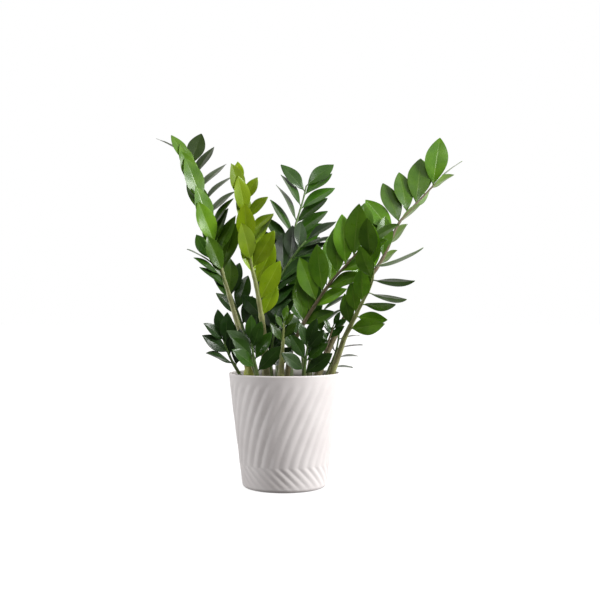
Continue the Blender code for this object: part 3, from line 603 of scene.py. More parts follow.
BLADE_ROWS = (
    *(0.0, 0.03, 0.07, 0.12, 0.18, 0.25, 0.32, 0.40, 0.48),
    *(0.56, 0.64, 0.72, 0.79, 0.85, 0.90, 0.94, 0.97, 0.99),
)  # as shares of its length
BLADE_COLUMNS = (0.0, 0.05, 0.12, 0.28, 0.48, 0.68, 0.86)  # from the midrib to just short of the margin
BLADE_HALF_THICKNESS = 0.00042
STALKLET_HALF_THICKNESS = 0.0012
STALKLET_MERGE = 0.10  # share of a blade over which it thins from its stalklet
MIDRIB_GROOVE = 0.00030
MIDRIB_KEEL = 0.00055
MIDRIB_HALF_WIDTH = 0.10  # as a share of the blade's half width
FOLD_SOFTNESS = 0.10
BLADE_RIPPLE = 0.0011
RIPPLE_STARTS = (0, 6)  # radians
RIPPLE_TURNS = (5, 9)  # radians from the foot to the tip
BLADE_CURL = math.radians(7)  # how far a blade turns about its midrib towards its tip
LEAFLET_TONE_AND_SHADE = (0.56, 1.24)  # how dark or light a leaflet is beside its row: partly its own random tone, partly painted shade and highlight
STALK_STEP = 0.005
STALK_SIDES = 18
STALK_SIDE_AIM = (0.3, 0.9, 0.2)  # a stalk's first side is set square to this
MIDDLING = 0.5  # the tint's red, where nothing varies
SHARP_ANGLE = math.radians(55)
NODE_SWELLING = 0.16  # where a leaflet leaves the rachis, as a share of its radius
NODE_LENGTH = 0.006


class Shape:
    """Collects points, faces, and each face's UVs, tint and material until one mesh is made of them."""

    def __init__(self):
        self.points, self.faces, self.uvs, self.tints, self.slots = [], [], [], [], []

    def add_rings(self, rings, place_of, tint_of, slot, end, end_place):
        """Skins closed rings of points, from a flat first one to a point at the end.

        place_of gives the (u, v) of a row and a column. The column is the rings' width where they close.
        """
        first, width = len(self.points), len(rings[0])
        self.points += [point for ring in rings for point in ring] + [end]

        def add(corners, tint):
            self.faces.append([first + r * width + c % width for r, c in corners])
            self.uvs += [place_of(r, c) for r, c in corners]
            self.tints += [tint] * len(corners)
            self.slots.append(slot)

        for row in range(len(rings) - 1):
            for c in range(width):
                add(((row, c), (row, c + 1), (row + 1, c + 1), (row + 1, c)), tint_of(c))
        for c in range(width):
            add(((len(rings) - 1, c), (len(rings) - 1, c + 1)), tint_of(c))
            self.faces[-1].append(len(self.points) - 1)
            self.uvs.append(end_place)
            self.tints.append(tint_of(c))
        add([(0, c) for c in reversed(range(width))], tint_of(0))

    def make(self, name, materials):
        mesh = bpy.data.meshes.new(name)
        mesh.from_pydata(self.points, [], self.faces)
        layer = mesh.uv_layers.new(name="UVMap")
        layer.data.foreach_set("uv", np.array(self.uvs, np.float32).ravel())
        tint = mesh.attributes.new("tint", "FLOAT_COLOR", "CORNER")
        tint.data.foreach_set("color", np.array([(*t, 1.0) for t in self.tints], np.float32).ravel())
        for material in materials:
            mesh.materials.append(material)
        mesh.polygons.foreach_set("material_index", np.array(self.slots, np.int32))
        mesh.shade_smooth()
        mesh.set_sharp_from_angle(angle=SHARP_ANGLE)
        return linked(name, mesh)


def turns_round(count):
    """The angles of evenly spaced points round a circle."""
    return [2 * math.pi * k / count for k in range(count)]


def blade_columns():
    """Places round a blade from -1 at its left margin to 1 at its right: over its upper side, then back."""
    over = [-1.0, *(-c for c in reversed(BLADE_COLUMNS[1:])), *BLADE_COLUMNS, 1.0]
    return over, list(reversed(over[1:-1]))


def blade_ring(leaflet, share, traits):
    """The points round a blade at a share of its length: over its upper side, then back under it."""
    blade = max(0.0, share)
    half = half_width(leaflet, blade)
    middle = spine(leaflet, share)
    thinning = min(1.0, blade / STALKLET_MERGE)
    thick = STALKLET_HALF_THICKNESS + (BLADE_HALF_THICKNESS - STALKLET_HALF_THICKNESS) * thinning
    curl = Matrix.Rotation(traits["curl"] * blade, 3, leaflet.along)
    across, face = curl @ leaflet.along.cross(leaflet.face), curl @ leaflet.face
    over, back = blade_columns()

    def point(t, side):
        soft = (math.sqrt(t * t + FOLD_SOFTNESS**2) - FOLD_SOFTNESS) / (1 - FOLD_SOFTNESS)
        rise = half * LEAFLET_FOLD * soft * thinning
        ripple = math.sin(traits["phase"] + traits["waves"] * share + (t > 0))
        rise += BLADE_RIPPLE * thinning * t * t * ripple
        rib = max(0.0, 1 - abs(t) / MIDRIB_HALF_WIDTH) * thinning * (1 - blade)
        rise += side * thick * math.sqrt(1 - t * t) - rib * (MIDRIB_GROOVE if side > 0 else MIDRIB_KEEL)
        return middle + across * half * t + face * rise

    return [point(t, 1) for t in over] + [point(t, -1) for t in back]


def add_leaflet(shape, leaflet, dice, shade):
    """One closed blade on its stalklet: u across it, v along it, the tint's green 1 underneath and its blue
    a painted shade.
    """
    traits = {
        "curl": dice.uniform(-BLADE_CURL, BLADE_CURL),
        "phase": dice.uniform(*RIPPLE_STARTS),
        "waves": dice.uniform(*RIPPLE_TURNS),
    }
    rows = [-leaflet.bare / leaflet.length, *BLADE_ROWS]
    rings = [blade_ring(leaflet, share, traits) for share in rows]
    over, back = blade_columns()
    columns = over + back + over[:1]
    random_value = dice.random()

    def place(row, column):
        return ((columns[column] + 1) / 2, max(0.0, rows[row]))

    # Red: a random tone; green: 1 underneath; blue: the leaflet's painted shade and light
    def tint(column):
        return (random_value, 0.0 if column < len(over) - 1 else 1.0, shade)

    shape.add_rings(rings, place, tint, 0, spine(leaflet, 1.0), (0.5, 1.0))


def plain_tint(_):
    return (MIDDLING, 0.0, 1.0)


def add_stalk(shape, frond, leaflets):
    """The stalk and rachis, round, tapered and a little swollen at each leaflet, with v along it."""
    path = frond_path(frond, STALK_STEP)
    length = STALK_STEP * (len(path) - 1)
    rings = []
    for i, middle in enumerate(path):
        share = i / (len(path) - 1)
        ahead = (path[min(i + 1, len(path) - 1)] - path[max(i - 1, 0)]).normalized()
        side = ahead.cross(Vector(STALK_SIDE_AIM)).normalized()
        other = side.cross(ahead)
        nodes = sum(math.exp(-(((share - leaf.place) * length / NODE_LENGTH) ** 2)) for leaf in leaflets)
        radius = stalk_radius(frond, share) * (1 + NODE_SWELLING * min(1.0, nodes))
        around = [side * math.cos(a) + other * math.sin(a) for a in turns_round(STALK_SIDES)]
        rings.append([middle + way * radius for way in around])

    def place(row, column):
        return (column / STALK_SIDES, row / (len(path) - 1))

    end = path[-1] + (path[-1] - path[-2]).normalized() * RACHIS_TIP_RADIUS
    shape.add_rings(rings, place, plain_tint, 1, end, (0.5, 1.0))


def add_frond(frond, leaflets):
    """A stalk and its leaflets as one piece."""
    dice = random.Random(frond.name + " looks")
    shape = Shape()
    add_stalk(shape, frond, leaflets)
    for leaflet in leaflets:
        # Each row's painted shade and light, times a random factor for each leaflet
        shade = frond.painted_row_shades[0 if leaflet.side > 0 else 1]
        add_leaflet(shape, leaflet, dice, shade * dice.uniform(*LEAFLET_TONE_AND_SHADE))
    materials = [leaf_material(frond.leaf), stalk_material(frond.stalk)]
    return shape.make(frond.name.removeprefix("frond_") + "_frond", materials)


# ---------------------------------------------------------------- pot, soil, tubers, sheath

POT_COLUMNS_PER_RIDGE = 14
POT_ROWS = 120
POT_CORNER_STEPS = 8
POT_CORNER_SHORT = 6  # degrees of the lip's and the foot's turn that the sloping wall takes
RIDGE_FULLNESS = 0.8  # exponent: under 1, crests are wider than valleys
FOOT_RELIEF = 0.35  # how strong the ridges are at the foot, beside above the hook
RELIEF_DEPTH = 0.0012
RELIEF_UNEVENNESS = 0.55  # how much stronger or weaker a ridge is than the next ones
RELIEF_CHANGES = (3, 9)  # the noise's scale round the pot and up it
SOIL_RINGS = 64
SOIL_SECTORS = 180
SOIL_ROUGHNESS = 0.0022
SOIL_LUMPS = ((160, 0.1, 1.0), (420, 0.7, 0.5))  # each noise's scale, height in it and strength
SOIL_EDGE = (0.002, 0.010)  # how far in and how far down its side starts from its top
SOIL_DROP = 0.001  # how far it is lowered, so that its lumps keep to its level
CRUMB_COUNT = 1100
CRUMB_SIZE = (0.0009, 0.0030)
CRUMB_STRETCH = ((0.8, 1.7), (0.7, 1.1), (0.4, 0.8))  # its length, width and height over its size
CRUMB_TILT = (-0.6, 0.6)
CRUMB_LUMPS = 0.35
CRUMB_RISE = 0.2  # how far over the mix its middle lies, over its size
CRUMB_TO_WALL = 0.003
PERLITE_SHARE = 0.05
TUBER_ROWS, TUBER_COLUMNS = 40, 64
TUBER_WRINKLES = 0.02
TUBER_RINGS = 0.006  # how strong its rings are
TUBER_RING_TURNS = 60  # radians of them from its middle to its crown
SHEATH_ROWS, SHEATH_COLUMNS = 48, 40
SHEATH_OPENING = 1.06  # its wrap at the foot over SHEATH_WRAP, which is one less at the tip
SHEATH_RIBS = (0.00018, 90)  # their height, and how many radians of them lie across it
SHEATH_WAVES = 0.0006


def surface_noise(point, scale, seed=0.0):
    """Noise of four sizes, each finer and weaker than the last."""
    return noise.fractal(Vector(point) * scale + Vector((seed, seed, seed)), 1.0, 2.0, 4)


def arc(middle, radius, start, stop, steps):
    """Points (r, z) round a corner, from one angle to another in degrees."""
    angles = np.radians(np.linspace(start, stop, steps))
    return [(middle[0] + radius * math.cos(a), middle[1] + radius * math.sin(a)) for a in angles]


def ridge_wave(turn):
    """A ridge's section: a rounded crest between narrower valleys."""
    wave = 0.5 + 0.5 * math.cos(turn)
    return wave**RIDGE_FULLNESS


def fine_pot_outside():
    """The outside's section, (r, z), from the top of the lip down to the underside."""
    corner = wall_radius(POT_FOOT_ROUND)
    lip = (wall_radius(POT_HEIGHT) - POT_LIP_ROUND, POT_HEIGHT - POT_LIP_ROUND)
    heights = np.linspace(POT_HEIGHT - 2 * POT_LIP_ROUND, POT_FOOT_ROUND, POT_ROWS)
    foot = (corner - POT_FOOT_ROUND, POT_FOOT_ROUND)
    return (
        arc(lip, POT_LIP_ROUND, 90, POT_CORNER_SHORT, POT_CORNER_STEPS)
        + [(wall_radius(z), z) for z in heights]
        + arc(foot, POT_FOOT_ROUND, -POT_CORNER_SHORT, -90, POT_CORNER_STEPS)
    )


def fine_pot_inside():
    """The inside's section, (r, z), from the floor up to the top of the lip."""
    inner = wall_radius(POT_HEIGHT) - POT_WALL
    floor_radius = wall_radius(POT_FLOOR) - POT_WALL
    points = [(floor_radius - POT_FLOOR_ROUND, POT_FLOOR), (floor_radius, POT_FLOOR + POT_FLOOR_ROUND)]
    lip = (inner + POT_LIP_ROUND, POT_HEIGHT - POT_LIP_ROUND)
    return points + arc(lip, POT_LIP_ROUND, 180, 90 + POT_CORNER_SHORT, POT_CORNER_STEPS)


def add_pot():
    """The ridged pot as one closed surface, from under its floor, up its wall and down inside."""
    columns = POT_COLUMNS_PER_RIDGE * RIDGE_COUNT
    outside = list(reversed(fine_pot_outside()))
    profile = outside + list(reversed(fine_pot_inside()))
    level, upright = RELIEF_CHANGES
    shape = Shape()
    rings = []
    for i, (radius, height) in enumerate(profile):
        relief = ridge_height(height) / RIDGE_DEPTH if i < len(outside) else 0.0
        relief *= np.interp(height, (0, RIDGE_HOOK), (FOOT_RELIEF, 1))
        turned = ridge_turn(height) - ridge_turn(POT_HEIGHT)
        ring = []
        for along in turns_round(columns):
            spot = (level * math.cos(along), level * math.sin(along), upright * height)
            uneven = 1 + RELIEF_UNEVENNESS * noise.noise(Vector(spot))
            r = radius + relief * RELIEF_DEPTH * (ridge_wave(along * RIDGE_COUNT) - 0.5) * uneven
            ring.append(Vector((r * math.cos(along + turned), r * math.sin(along + turned), height)))
        rings.append(ring)

    def place(row, column):
        rise = 0.5 * profile[row][1] / POT_HEIGHT
        return (column / columns, rise if row < len(outside) else 1 - rise)

    def tint(column):
        return (ridge_wave(2 * math.pi * (column + 0.5) / POT_COLUMNS_PER_RIDGE), 0.0, 1.0)

    shape.add_rings(rings, place, tint, 0, Vector((0.0, 0.0, POT_FLOOR)), (0.5, 1.0))
    return shape.make("ridged_pot", [ceramic_material()])


def add_soil():
    """The potting mix, crumbly on top, down to the pot's floor."""
    top = POT_HEIGHT - SOIL_DEPTH_BELOW_RIM
    edge = wall_radius(top) - POT_WALL - 2 * GAP
    foot = wall_radius(POT_FLOOR) - POT_WALL - POT_FLOOR_ROUND
    turns = turns_round(SOIL_SECTORS)
    inwards, downwards = SOIL_EDGE
    rings = [
        [Vector((r * math.cos(a), r * math.sin(a), z)) for a in turns]
        for r, z in ((foot, POT_FLOOR + GAP), (edge - inwards, top - downwards))
    ]
    for i in range(SOIL_RINGS):
        radius = edge * (1 - i / SOIL_RINGS)
        ring = []
        for angle in turns:
            x, y = radius * math.cos(angle), radius * math.sin(angle)
            rough = sum(strength * surface_noise((x, y, z), scale) for scale, z, strength in SOIL_LUMPS)
            ring.append(Vector((x, y, soil_height(x, y) + SOIL_ROUGHNESS * rough - SOIL_DROP)))
        rings.append(ring)

    def place(row, column):
        point = rings[row][column % SOIL_SECTORS]
        return (point.x / edge / 2 + 0.5, point.y / edge / 2 + 0.5)

    shape = Shape()
    shape.add_rings(rings, place, plain_tint, 0, Vector((0, 0, soil_height(0, 0))), (0.5, 0.5))
    return shape.make("potting_mix", [soil_material()])


def add_crumbs():
    """Bits of bark and perlite that lie on the potting mix."""
    dice = random.Random("crumbs")
    edge = wall_radius(POT_HEIGHT - SOIL_DEPTH_BELOW_RIM) - POT_WALL - CRUMB_TO_WALL
    bm = bmesh.new()
    ball = bmesh.ops.create_icosphere(bm, subdivisions=2, radius=1.0)["verts"]
    points = [v.co.copy() for v in ball]
    faces = [[v.index for v in f.verts] for f in bm.faces]
    bm.free()
    shape = Shape()
    for _ in range(CRUMB_COUNT):
        radius, angle = edge * math.sqrt(dice.random()), dice.uniform(0, 2 * math.pi)
        x, y = radius * math.cos(angle), radius * math.sin(angle)
        size = dice.uniform(*CRUMB_SIZE)
        spin = Matrix.Rotation(dice.uniform(0, 6.3), 3, "Z")
        spin = spin @ Matrix.Rotation(dice.uniform(*CRUMB_TILT), 3, "X")
        stretch = Vector([dice.uniform(*limits) for limits in CRUMB_STRETCH])
        middle = Vector((x, y, soil_height(x, y) + CRUMB_RISE * size))
        seed = dice.uniform(0, 50)
        first = len(shape.points)
        for p in points:
            lump = 1 + CRUMB_LUMPS * noise.noise(p * 1.3 + Vector((seed, 0, 0)))
            shape.points.append(middle + spin @ (p * stretch) * size * lump)
        white = 1.0 if dice.random() < PERLITE_SHARE else 0.0
        value = dice.random()
        for face in faces:
            shape.faces.append([first + i for i in face])
            shape.uvs += [(0.5, 0.5)] * 3
            shape.tints += [(value, white, 1.0)] * 3
            shape.slots.append(0)
    return shape.make("soil_crumbs", [crumb_material()])


def add_tuber(name):
    """A tuber's lumpy skin, with faint rings round its crown."""
    place = tuber_place(name)
    middle = Vector((*place, soil_height(*place) + CROWN_ABOVE_SOIL - TUBER_HEIGHT / 2))
    shape = Shape()
    rings = []
    for i in range(1, TUBER_ROWS):
        turn = math.pi * i / TUBER_ROWS
        ring = []
        for angle in turns_round(TUBER_COLUMNS):
            around = (math.sin(turn) * math.cos(angle), math.sin(turn) * math.sin(angle))
            unit = Vector((*around, -math.cos(turn)))
            lumps = 1 + TUBER_LUMPS * math.sin(3 * unit.x + 150 * place[0]) * math.cos(4 * unit.y)
            lumps += TUBER_WRINKLES * surface_noise(unit, 3.0, place[0] * 50)
            lumps += TUBER_RINGS * math.sin(TUBER_RING_TURNS * unit.z) * max(0, unit.z)
            size = Vector((TUBER_RADIUS, TUBER_RADIUS, TUBER_HEIGHT / 2)) * lumps
            ring.append(middle + unit * size)
        rings.append(ring)

    def uv(row, column):
        return (column / TUBER_COLUMNS, row / TUBER_ROWS)

    top = middle + Vector((0, 0, TUBER_HEIGHT / 2))
    shape.add_rings(rings, uv, plain_tint, 0, top, (0.5, 1.0))
    return shape.make(name + "_skin", [tuber_material()])


def add_sheath():
    """The papery sheath, finely ribbed along its length."""
    x, y = tuber_place(SHEATH_TUBER) + Vector(SHEATH_PLACE)
    foot = soil_height(x, y) - SHEATH_SET_IN
    rib_height, rib_turns = SHEATH_RIBS
    bm = bmesh.new()
    layer = bm.loops.layers.uv.new("UVMap")
    grid = []
    for row in range(SHEATH_ROWS + 1):
        up = row / SHEATH_ROWS
        for column in range(SHEATH_COLUMNS + 1):
            across = column / SHEATH_COLUMNS - 0.5
            turn = across * SHEATH_WRAP * (SHEATH_OPENING - up**2)
            radius = SHEATH_RADIUS * (1 - SHEATH_DRAWN_IN * up) + rib_height * math.cos(across * rib_turns)
            radius += SHEATH_WAVES * noise.noise(Vector((across * 3, up * 4, 2.0)))
            facing = Matrix.Rotation(turn + SHEATH_FACING, 3, "Z") @ Vector((0, -radius, 0))
            grid.append(bm.verts.new(Vector((x, y, foot + up * SHEATH_HEIGHT)) + facing))
    for row in range(SHEATH_ROWS):
        for column in range(SHEATH_COLUMNS):
            corners = ((row, column), (row, column + 1), (row + 1, column + 1), (row + 1, column))
            face = bm.faces.new([grid[r * (SHEATH_COLUMNS + 1) + c] for r, c in corners])
            for loop, (r, c) in zip(face.loops, corners):
                loop[layer].uv = (c / SHEATH_COLUMNS, r / SHEATH_ROWS)
    mesh = mesh_of(bm, "cataphyll_sheath")
    mesh.materials.append(sheath_material())
    mesh.shade_smooth()
    obj = linked("cataphyll_sheath", mesh)
    solidify = obj.modifiers.new("thickness", "SOLIDIFY")
    solidify.thickness = SHEATH_THICKNESS
    solidify.offset = 0.0
    return obj


# ---------------------------------------------------------------- materials

WHITE = (1.0, 1.0, 1.0, 1.0)


class Tree:
    """Adds shader nodes to a new material or world, and links them."""

    def __init__(self, name, owners=bpy.data.materials):
        self.owner = owners.new(name)
        self.owner.use_nodes = True
        self.nodes = self.owner.node_tree.nodes
        self.links = self.owner.node_tree.links

    def set(self, node, inputs):
        for key, value in inputs.items():
            if isinstance(value, bpy.types.NodeSocket):
                self.links.new(value, node.inputs[key])
            else:
                node.inputs[key].default_value = value
        return node

    def add(self, kind, inputs=None, **settings):
        node = self.nodes.new("ShaderNode" + kind)
        for key, value in settings.items():
            setattr(node, key, value)
        return self.set(node, inputs or {})

    def maths(self, operation, *values):
        return self.add("Math", dict(enumerate(values)), operation=operation).outputs[0]

    def noise(self, scale, detail=3.0, vector=None, roughness=0.5):
        inputs = {"Scale": scale, "Detail": detail, "Roughness": roughness}
        inputs["Vector"] = vector or self.add("TexCoord").outputs["Object"]
        return self.add("TexNoise", inputs).outputs["Fac"]

    def ramp(self, value, low, high, to_low=0.0, to_high=1.0):
        inputs = {"Value": value, "From Min": low, "From Max": high, "To Min": to_low, "To Max": to_high}
        return self.add("MapRange", inputs, interpolation_type="SMOOTHSTEP").outputs[0]

    def blotches(self, scale, low, high, to_low=0.0, to_high=1.0, detail=3.0):
        """Noise, spread smoothly from one value to another."""
        return self.ramp(self.noise(scale, detail), low, high, to_low, to_high)

    def times(self, first, second):
        return self.maths("MULTIPLY", first, second)

    def mix(self, share, first, second, blend="MIX"):
        node = self.add("Mix", data_type="RGBA", blend_type=blend)
        for socket, value in zip((node.inputs[0], node.inputs[6], node.inputs[7]), (share, first, second)):
            if isinstance(value, bpy.types.NodeSocket):
                self.links.new(value, socket)
            else:
                socket.default_value = value if isinstance(value, float) else (*value, 1.0)
        return node.outputs[2]

    def over(self, skin, colour, mask, strength):
        """Lays a colour over the skin where the mask is 1."""
        return self.mix(self.times(mask, strength), skin, colour)

    def bump(self, height, distance, strength):
        return self.add("Bump", {"Height": height, "Distance": distance, "Strength": strength}).outputs[0]

    def tint(self):
        """The mesh's tint, as red, green and blue."""
        colour = self.add("Attribute", attribute_name="tint").outputs["Color"]
        return self.add("SeparateColor", {"Color": colour}).outputs

    def uv(self):
        """u and v."""
        place = self.add("UVMap", uv_map="UVMap").outputs[0]
        return self.add("SeparateXYZ", {"Vector": place}).outputs

    def finish(self, **inputs):
        """Sets the shader's inputs, each named by its own name with underscores, and gives the material."""
        names = {key: key.replace("_", " ").title().replace("Ior", "IOR") for key in inputs}
        self.set(self.nodes["Principled BSDF"], {names[key]: value for key, value in inputs.items()})
        return self.owner


def scaled(colour, factor):
    return tuple(channel * factor for channel in colour)


class Leafage(NamedTuple):
    """The colours of a kind of leaflet."""

    upper: tuple
    fresh: tuple  # patches, some leaflets, and the right half of each blade as a painted highlight
    under: tuple
    rib: tuple


LEAFAGES = {
    "mid": Leafage(
        (0.055, 0.155, 0.004), (0.130, 0.275, 0.010),
        (0.130, 0.230, 0.030), (0.22, 0.37, 0.06),
    ),
    # deep and dark are mid's green drawn darker: painted shade for the fronds at the back and low among the
    # stems
    "deep": Leafage(
        (0.022, 0.078, 0.004), (0.050, 0.145, 0.008),
        (0.075, 0.145, 0.025), (0.11, 0.22, 0.04),
    ),
    "dark": Leafage(
        (0.009, 0.036, 0.004), (0.026, 0.080, 0.010),
        (0.050, 0.095, 0.022), (0.08, 0.15, 0.04),
    ),
    "fresh": Leafage(
        (0.055, 0.170, 0.003), (0.135, 0.310, 0.008),
        (0.120, 0.225, 0.025), (0.22, 0.38, 0.05),
    ),
    "lime": Leafage(
        (0.200, 0.340, 0.002), (0.340, 0.500, 0.008),
        (0.260, 0.390, 0.015), (0.42, 0.58, 0.06),
    ),
}
STALKS = {
    "olive": ((0.270, 0.250, 0.120), (0.280, 0.330, 0.100)),
    "green": ((0.130, 0.150, 0.055), (0.100, 0.175, 0.040)),
    "brown": ((0.160, 0.150, 0.070), (0.150, 0.115, 0.065)),
}  # at the foot and towards the tip

# How a leaflet's skin is drawn, in shares of its width across and of its length along
VEIN_COUNT = 15.0
VEIN_SLANT = 9.0
VEIN_WOBBLE = 1.4
VEIN_STRENGTH = 0.16
RIB_WIDTHS = (0.034, 0.010)  # at the foot and at the tip
RIB_STRENGTH = 0.75
MARGIN = (0.478, 0.497)
MARGIN_STRENGTH = 0.35
PALE_FOOT = 0.10
PALE_FOOT_STRENGTH = 0.5
PAINTED_HIGHLIGHT_HALVES = (0.42, 0.58)  # between them the left half's colour turns into the right half's, which leans to the fresh colour as a painted highlight
STALK_LINES = 22
SHEATH_NERVES = 90.0  # radians across it
PAINTED_INNER_SHADE = (0.515, 0.550)  # v down the pot's inside, over which its painted shade starts
FLOOR_GLOW = 0.82


@cache
def leaf_material(name):
    """Waxy leaf skin: mottled, lighter along its midrib and margin, paler below, faint side veins; painted
    highlight and shade.
    """
    colours = LEAFAGES[name]
    tree = Tree(name + "_leaf")
    tint, (u, v, _) = tree.tint(), tree.uv()
    across = tree.maths("ABSOLUTE", tree.maths("SUBTRACT", u, 0.5))
    patches = tree.blotches(38.0, 0.35, 0.70)
    # Painted highlight: the right half of each blade leans to the fresh colour
    half = tree.ramp(u, *PAINTED_HIGHLIGHT_HALVES, 0.0, 0.5)
    fresh = tree.times(tree.maths("ADD", tree.maths("ADD", patches, tint["Red"]), half), 0.4)
    upper = tree.mix(fresh, colours.upper, colours.fresh)
    skin = tree.mix(tint["Green"], upper, colours.under)
    slant = tree.maths("SUBTRACT", tree.times(v, VEIN_COUNT), tree.times(across, VEIN_SLANT))
    wobble = tree.times(tree.noise(120.0, 2.0), VEIN_WOBBLE)
    veins = tree.maths("SINE", tree.times(tree.maths("ADD", slant, wobble), 2 * math.pi))
    vein = tree.ramp(veins, 0.55, 1.0)
    rib_width = tree.ramp(v, 0.0, 1.0, *RIB_WIDTHS)
    rib = tree.ramp(tree.maths("DIVIDE", across, rib_width), 0.35, 1.0, 1.0, 0.0)
    pale = (
        (vein, VEIN_STRENGTH),
        (rib, RIB_STRENGTH),
        (tree.ramp(across, *MARGIN), MARGIN_STRENGTH),
        (tree.ramp(v, 0.0, PALE_FOOT, 1.0, 0.0), PALE_FOOT_STRENGTH),
    )
    for mask, strength in pale:
        skin = tree.over(skin, colours.rib, mask, strength)
    # The tint's blue darkens or lightens the whole leaflet: painted shade and painted light
    shade = tree.add("CombineColor", {channel: tint["Blue"] for channel in ("Red", "Green", "Blue")})
    skin = tree.mix(1.0, skin, shade.outputs[0], "MULTIPLY")
    relief = tree.maths("SUBTRACT", tree.times(tree.noise(300.0, 2.0), 0.3), vein)
    return tree.finish(
        base_color=skin,
        roughness=tree.blotches(90.0, 0.3, 0.75, 0.26, 0.42, detail=4.0),
        normal=tree.bump(relief, 0.00008, 0.4),
        specular_ior_level=0.30,
        coat_weight=0.2,
        coat_roughness=0.12,
    )


@cache
def stalk_material(name):
    """Stalk skin: fine lengthways lines, and dark flecks and bands that fade out upwards."""
    low, high = STALKS[name]
    tree = Tree(name + "_stalk")
    u, v, _ = tree.uv()
    place = tree.add("TexCoord").outputs["Object"]
    flat = tree.add("Mapping", {"Vector": place, "Scale": (1.0, 1.0, 2.6)}).outputs[0]
    skin = tree.mix(tree.ramp(v, 0.05, 0.75), low, high)
    skin = tree.mix(tree.blotches(55.0, 0.35, 0.7, 0.0, 0.5), skin, scaled(high, 1.5))
    flecks = tree.ramp(tree.noise(260.0, 3.0, flat, 0.6), 0.56, 0.66)
    skin = tree.over(skin, scaled(low, 0.25), flecks, tree.ramp(v, 0.0, 0.7, 0.75, 0.15))
    lines = tree.maths("SINE", tree.times(u, STALK_LINES * math.pi * 2))
    height = tree.maths("ADD", tree.times(lines, 0.3), tree.noise(400.0, 3.0))
    rough = tree.blotches(150.0, 0.3, 0.7, 0.32, 0.5)
    return tree.finish(base_color=skin, roughness=rough, normal=tree.bump(height, 0.0002, 0.5))


@cache
def ceramic_material():
    """Matt white glaze, faintly uneven, a little darker between the ridges, with painted shade down the
    inside.
    """
    tree = Tree("white_ceramic")
    tint, (_, v, _) = tree.tint(), tree.uv()
    cloud = tree.blotches(14.0, 0.3, 0.7, detail=4.0)
    glaze = tree.mix(cloud, (0.79, 0.748, 0.742), (0.85, 0.812, 0.805))
    # Blotches of darker glaze in the valleys between the ridges
    darker_between_ridges = tree.times(tree.maths("SUBTRACT", 1.0, tint["Red"]), tree.blotches(70.0, 0.4, 0.8))
    glaze = tree.over(glaze, (0.58, 0.54, 0.50), darker_between_ridges, 0.12)
    # Painted shade on the inner wall, from just under the lip down to the mix, nearly as dark as the mix,
    # with a ragged top
    ragged = tree.maths("ADD", v, tree.times(tree.noise(60.0, 4.0), 0.02))
    glaze = tree.mix(tree.ramp(ragged, *PAINTED_INNER_SHADE, 0.0, 0.85), glaze, (0.10, 0.085, 0.060))
    glaze = tree.over(glaze, (0.5, 0.47, 0.44), tree.blotches(700.0, 0.72, 0.78, detail=2.0), 0.2)
    rough = tree.blotches(45.0, 0.3, 0.7, 0.42, 0.58, detail=4.0)
    grain = tree.maths("ADD", tree.noise(1100.0, 2.0), tree.times(tree.noise(160.0), 1.5))
    return tree.finish(base_color=glaze, roughness=rough, normal=tree.bump(grain, 0.00008, 0.6))


@cache
def soil_material():
    tree = Tree("potting_mix")
    mould = tree.mix(
        tree.blotches(220.0, 0.35, 0.7, detail=5.0), (0.018, 0.011, 0.007), (0.075, 0.048, 0.030)
    )
    mould = tree.over(mould, (0.16, 0.11, 0.07), tree.blotches(600.0, 0.62, 0.70), 0.5)  # fibres
    rough = tree.blotches(80.0, 0.3, 0.7, 0.85, 1.0)
    normal = tree.bump(tree.noise(500.0, 5.0), 0.0012, 0.8)
    return tree.finish(base_color=mould, roughness=rough, normal=normal)


@cache
def crumb_material():
    """Bark of several browns, and perlite where the tint's green is 1."""
    tree = Tree("crumbs")
    tint = tree.tint()
    bark = tree.mix(tint["Red"], (0.020, 0.012, 0.008), (0.130, 0.080, 0.045))
    bark = tree.mix(tree.blotches(500.0, 0.4, 0.7, 0.0, 0.6), bark, (0.045, 0.028, 0.018))
    crumbs = tree.mix(tint["Green"], bark, (0.70, 0.68, 0.63))
    rough = tree.blotches(300.0, 0.3, 0.7, 0.8, 0.98)
    normal = tree.bump(tree.noise(900.0, 4.0), 0.0005, 0.8)
    return tree.finish(base_color=crumbs, roughness=rough, normal=normal)


@cache
def tuber_material():
    tree = Tree("tuber_skin")
    skin = tree.mix(tree.blotches(60.0, 0.3, 0.7, detail=5.0), (0.17, 0.11, 0.055), (0.36, 0.27, 0.15))
    dirt = tree.blotches(180.0, 0.50, 0.62, 0.0, 0.8, detail=4.0)
    skin = tree.mix(dirt, skin, (0.050, 0.032, 0.020))
    rough = tree.blotches(90.0, 0.3, 0.7, 0.65, 0.9)
    normal = tree.bump(tree.noise(260.0, 5.0), 0.0006, 0.7)
    return tree.finish(base_color=skin, roughness=rough, normal=normal)


@cache
def sheath_material():
    """A drying sheath: green at its foot, straw brown at its edges and tip, with lengthways nerves."""
    tree = Tree("sheath")
    u, v, _ = tree.uv()
    edge = tree.ramp(tree.maths("ABSOLUTE", tree.maths("SUBTRACT", u, 0.5)), 0.25, 0.5)
    dry = tree.maths("MAXIMUM", edge, tree.ramp(v, 0.55, 1.0))
    skin = tree.mix(tree.blotches(110.0, 0.3, 0.7), (0.36, 0.42, 0.060), (0.55, 0.60, 0.10))
    skin = tree.over(skin, (0.42, 0.34, 0.13), dry, 0.45)
    nerves = tree.maths("SINE", tree.times(u, SHEATH_NERVES))
    skin = tree.mix(tree.ramp(nerves, 0.2, 1.0, 0.0, 0.25), skin, (0.20, 0.24, 0.05))
    rough = tree.blotches(140.0, 0.3, 0.7, 0.45, 0.65)
    return tree.finish(base_color=skin, roughness=rough, normal=tree.bump(nerves, 0.0002, 0.6))


def floor_material():
    """Pale grey, and glowing a little so that it melts into the backdrop."""
    tree = Tree("floor")
    paint = tree.mix(tree.blotches(3.0, 0.3, 0.7), (0.30, 0.30, 0.30), (0.32, 0.32, 0.32))
    return tree.finish(base_color=paint, roughness=0.9, emission_color=WHITE, emission_strength=FLOOR_GLOW)


# ---------------------------------------------------------------- scene

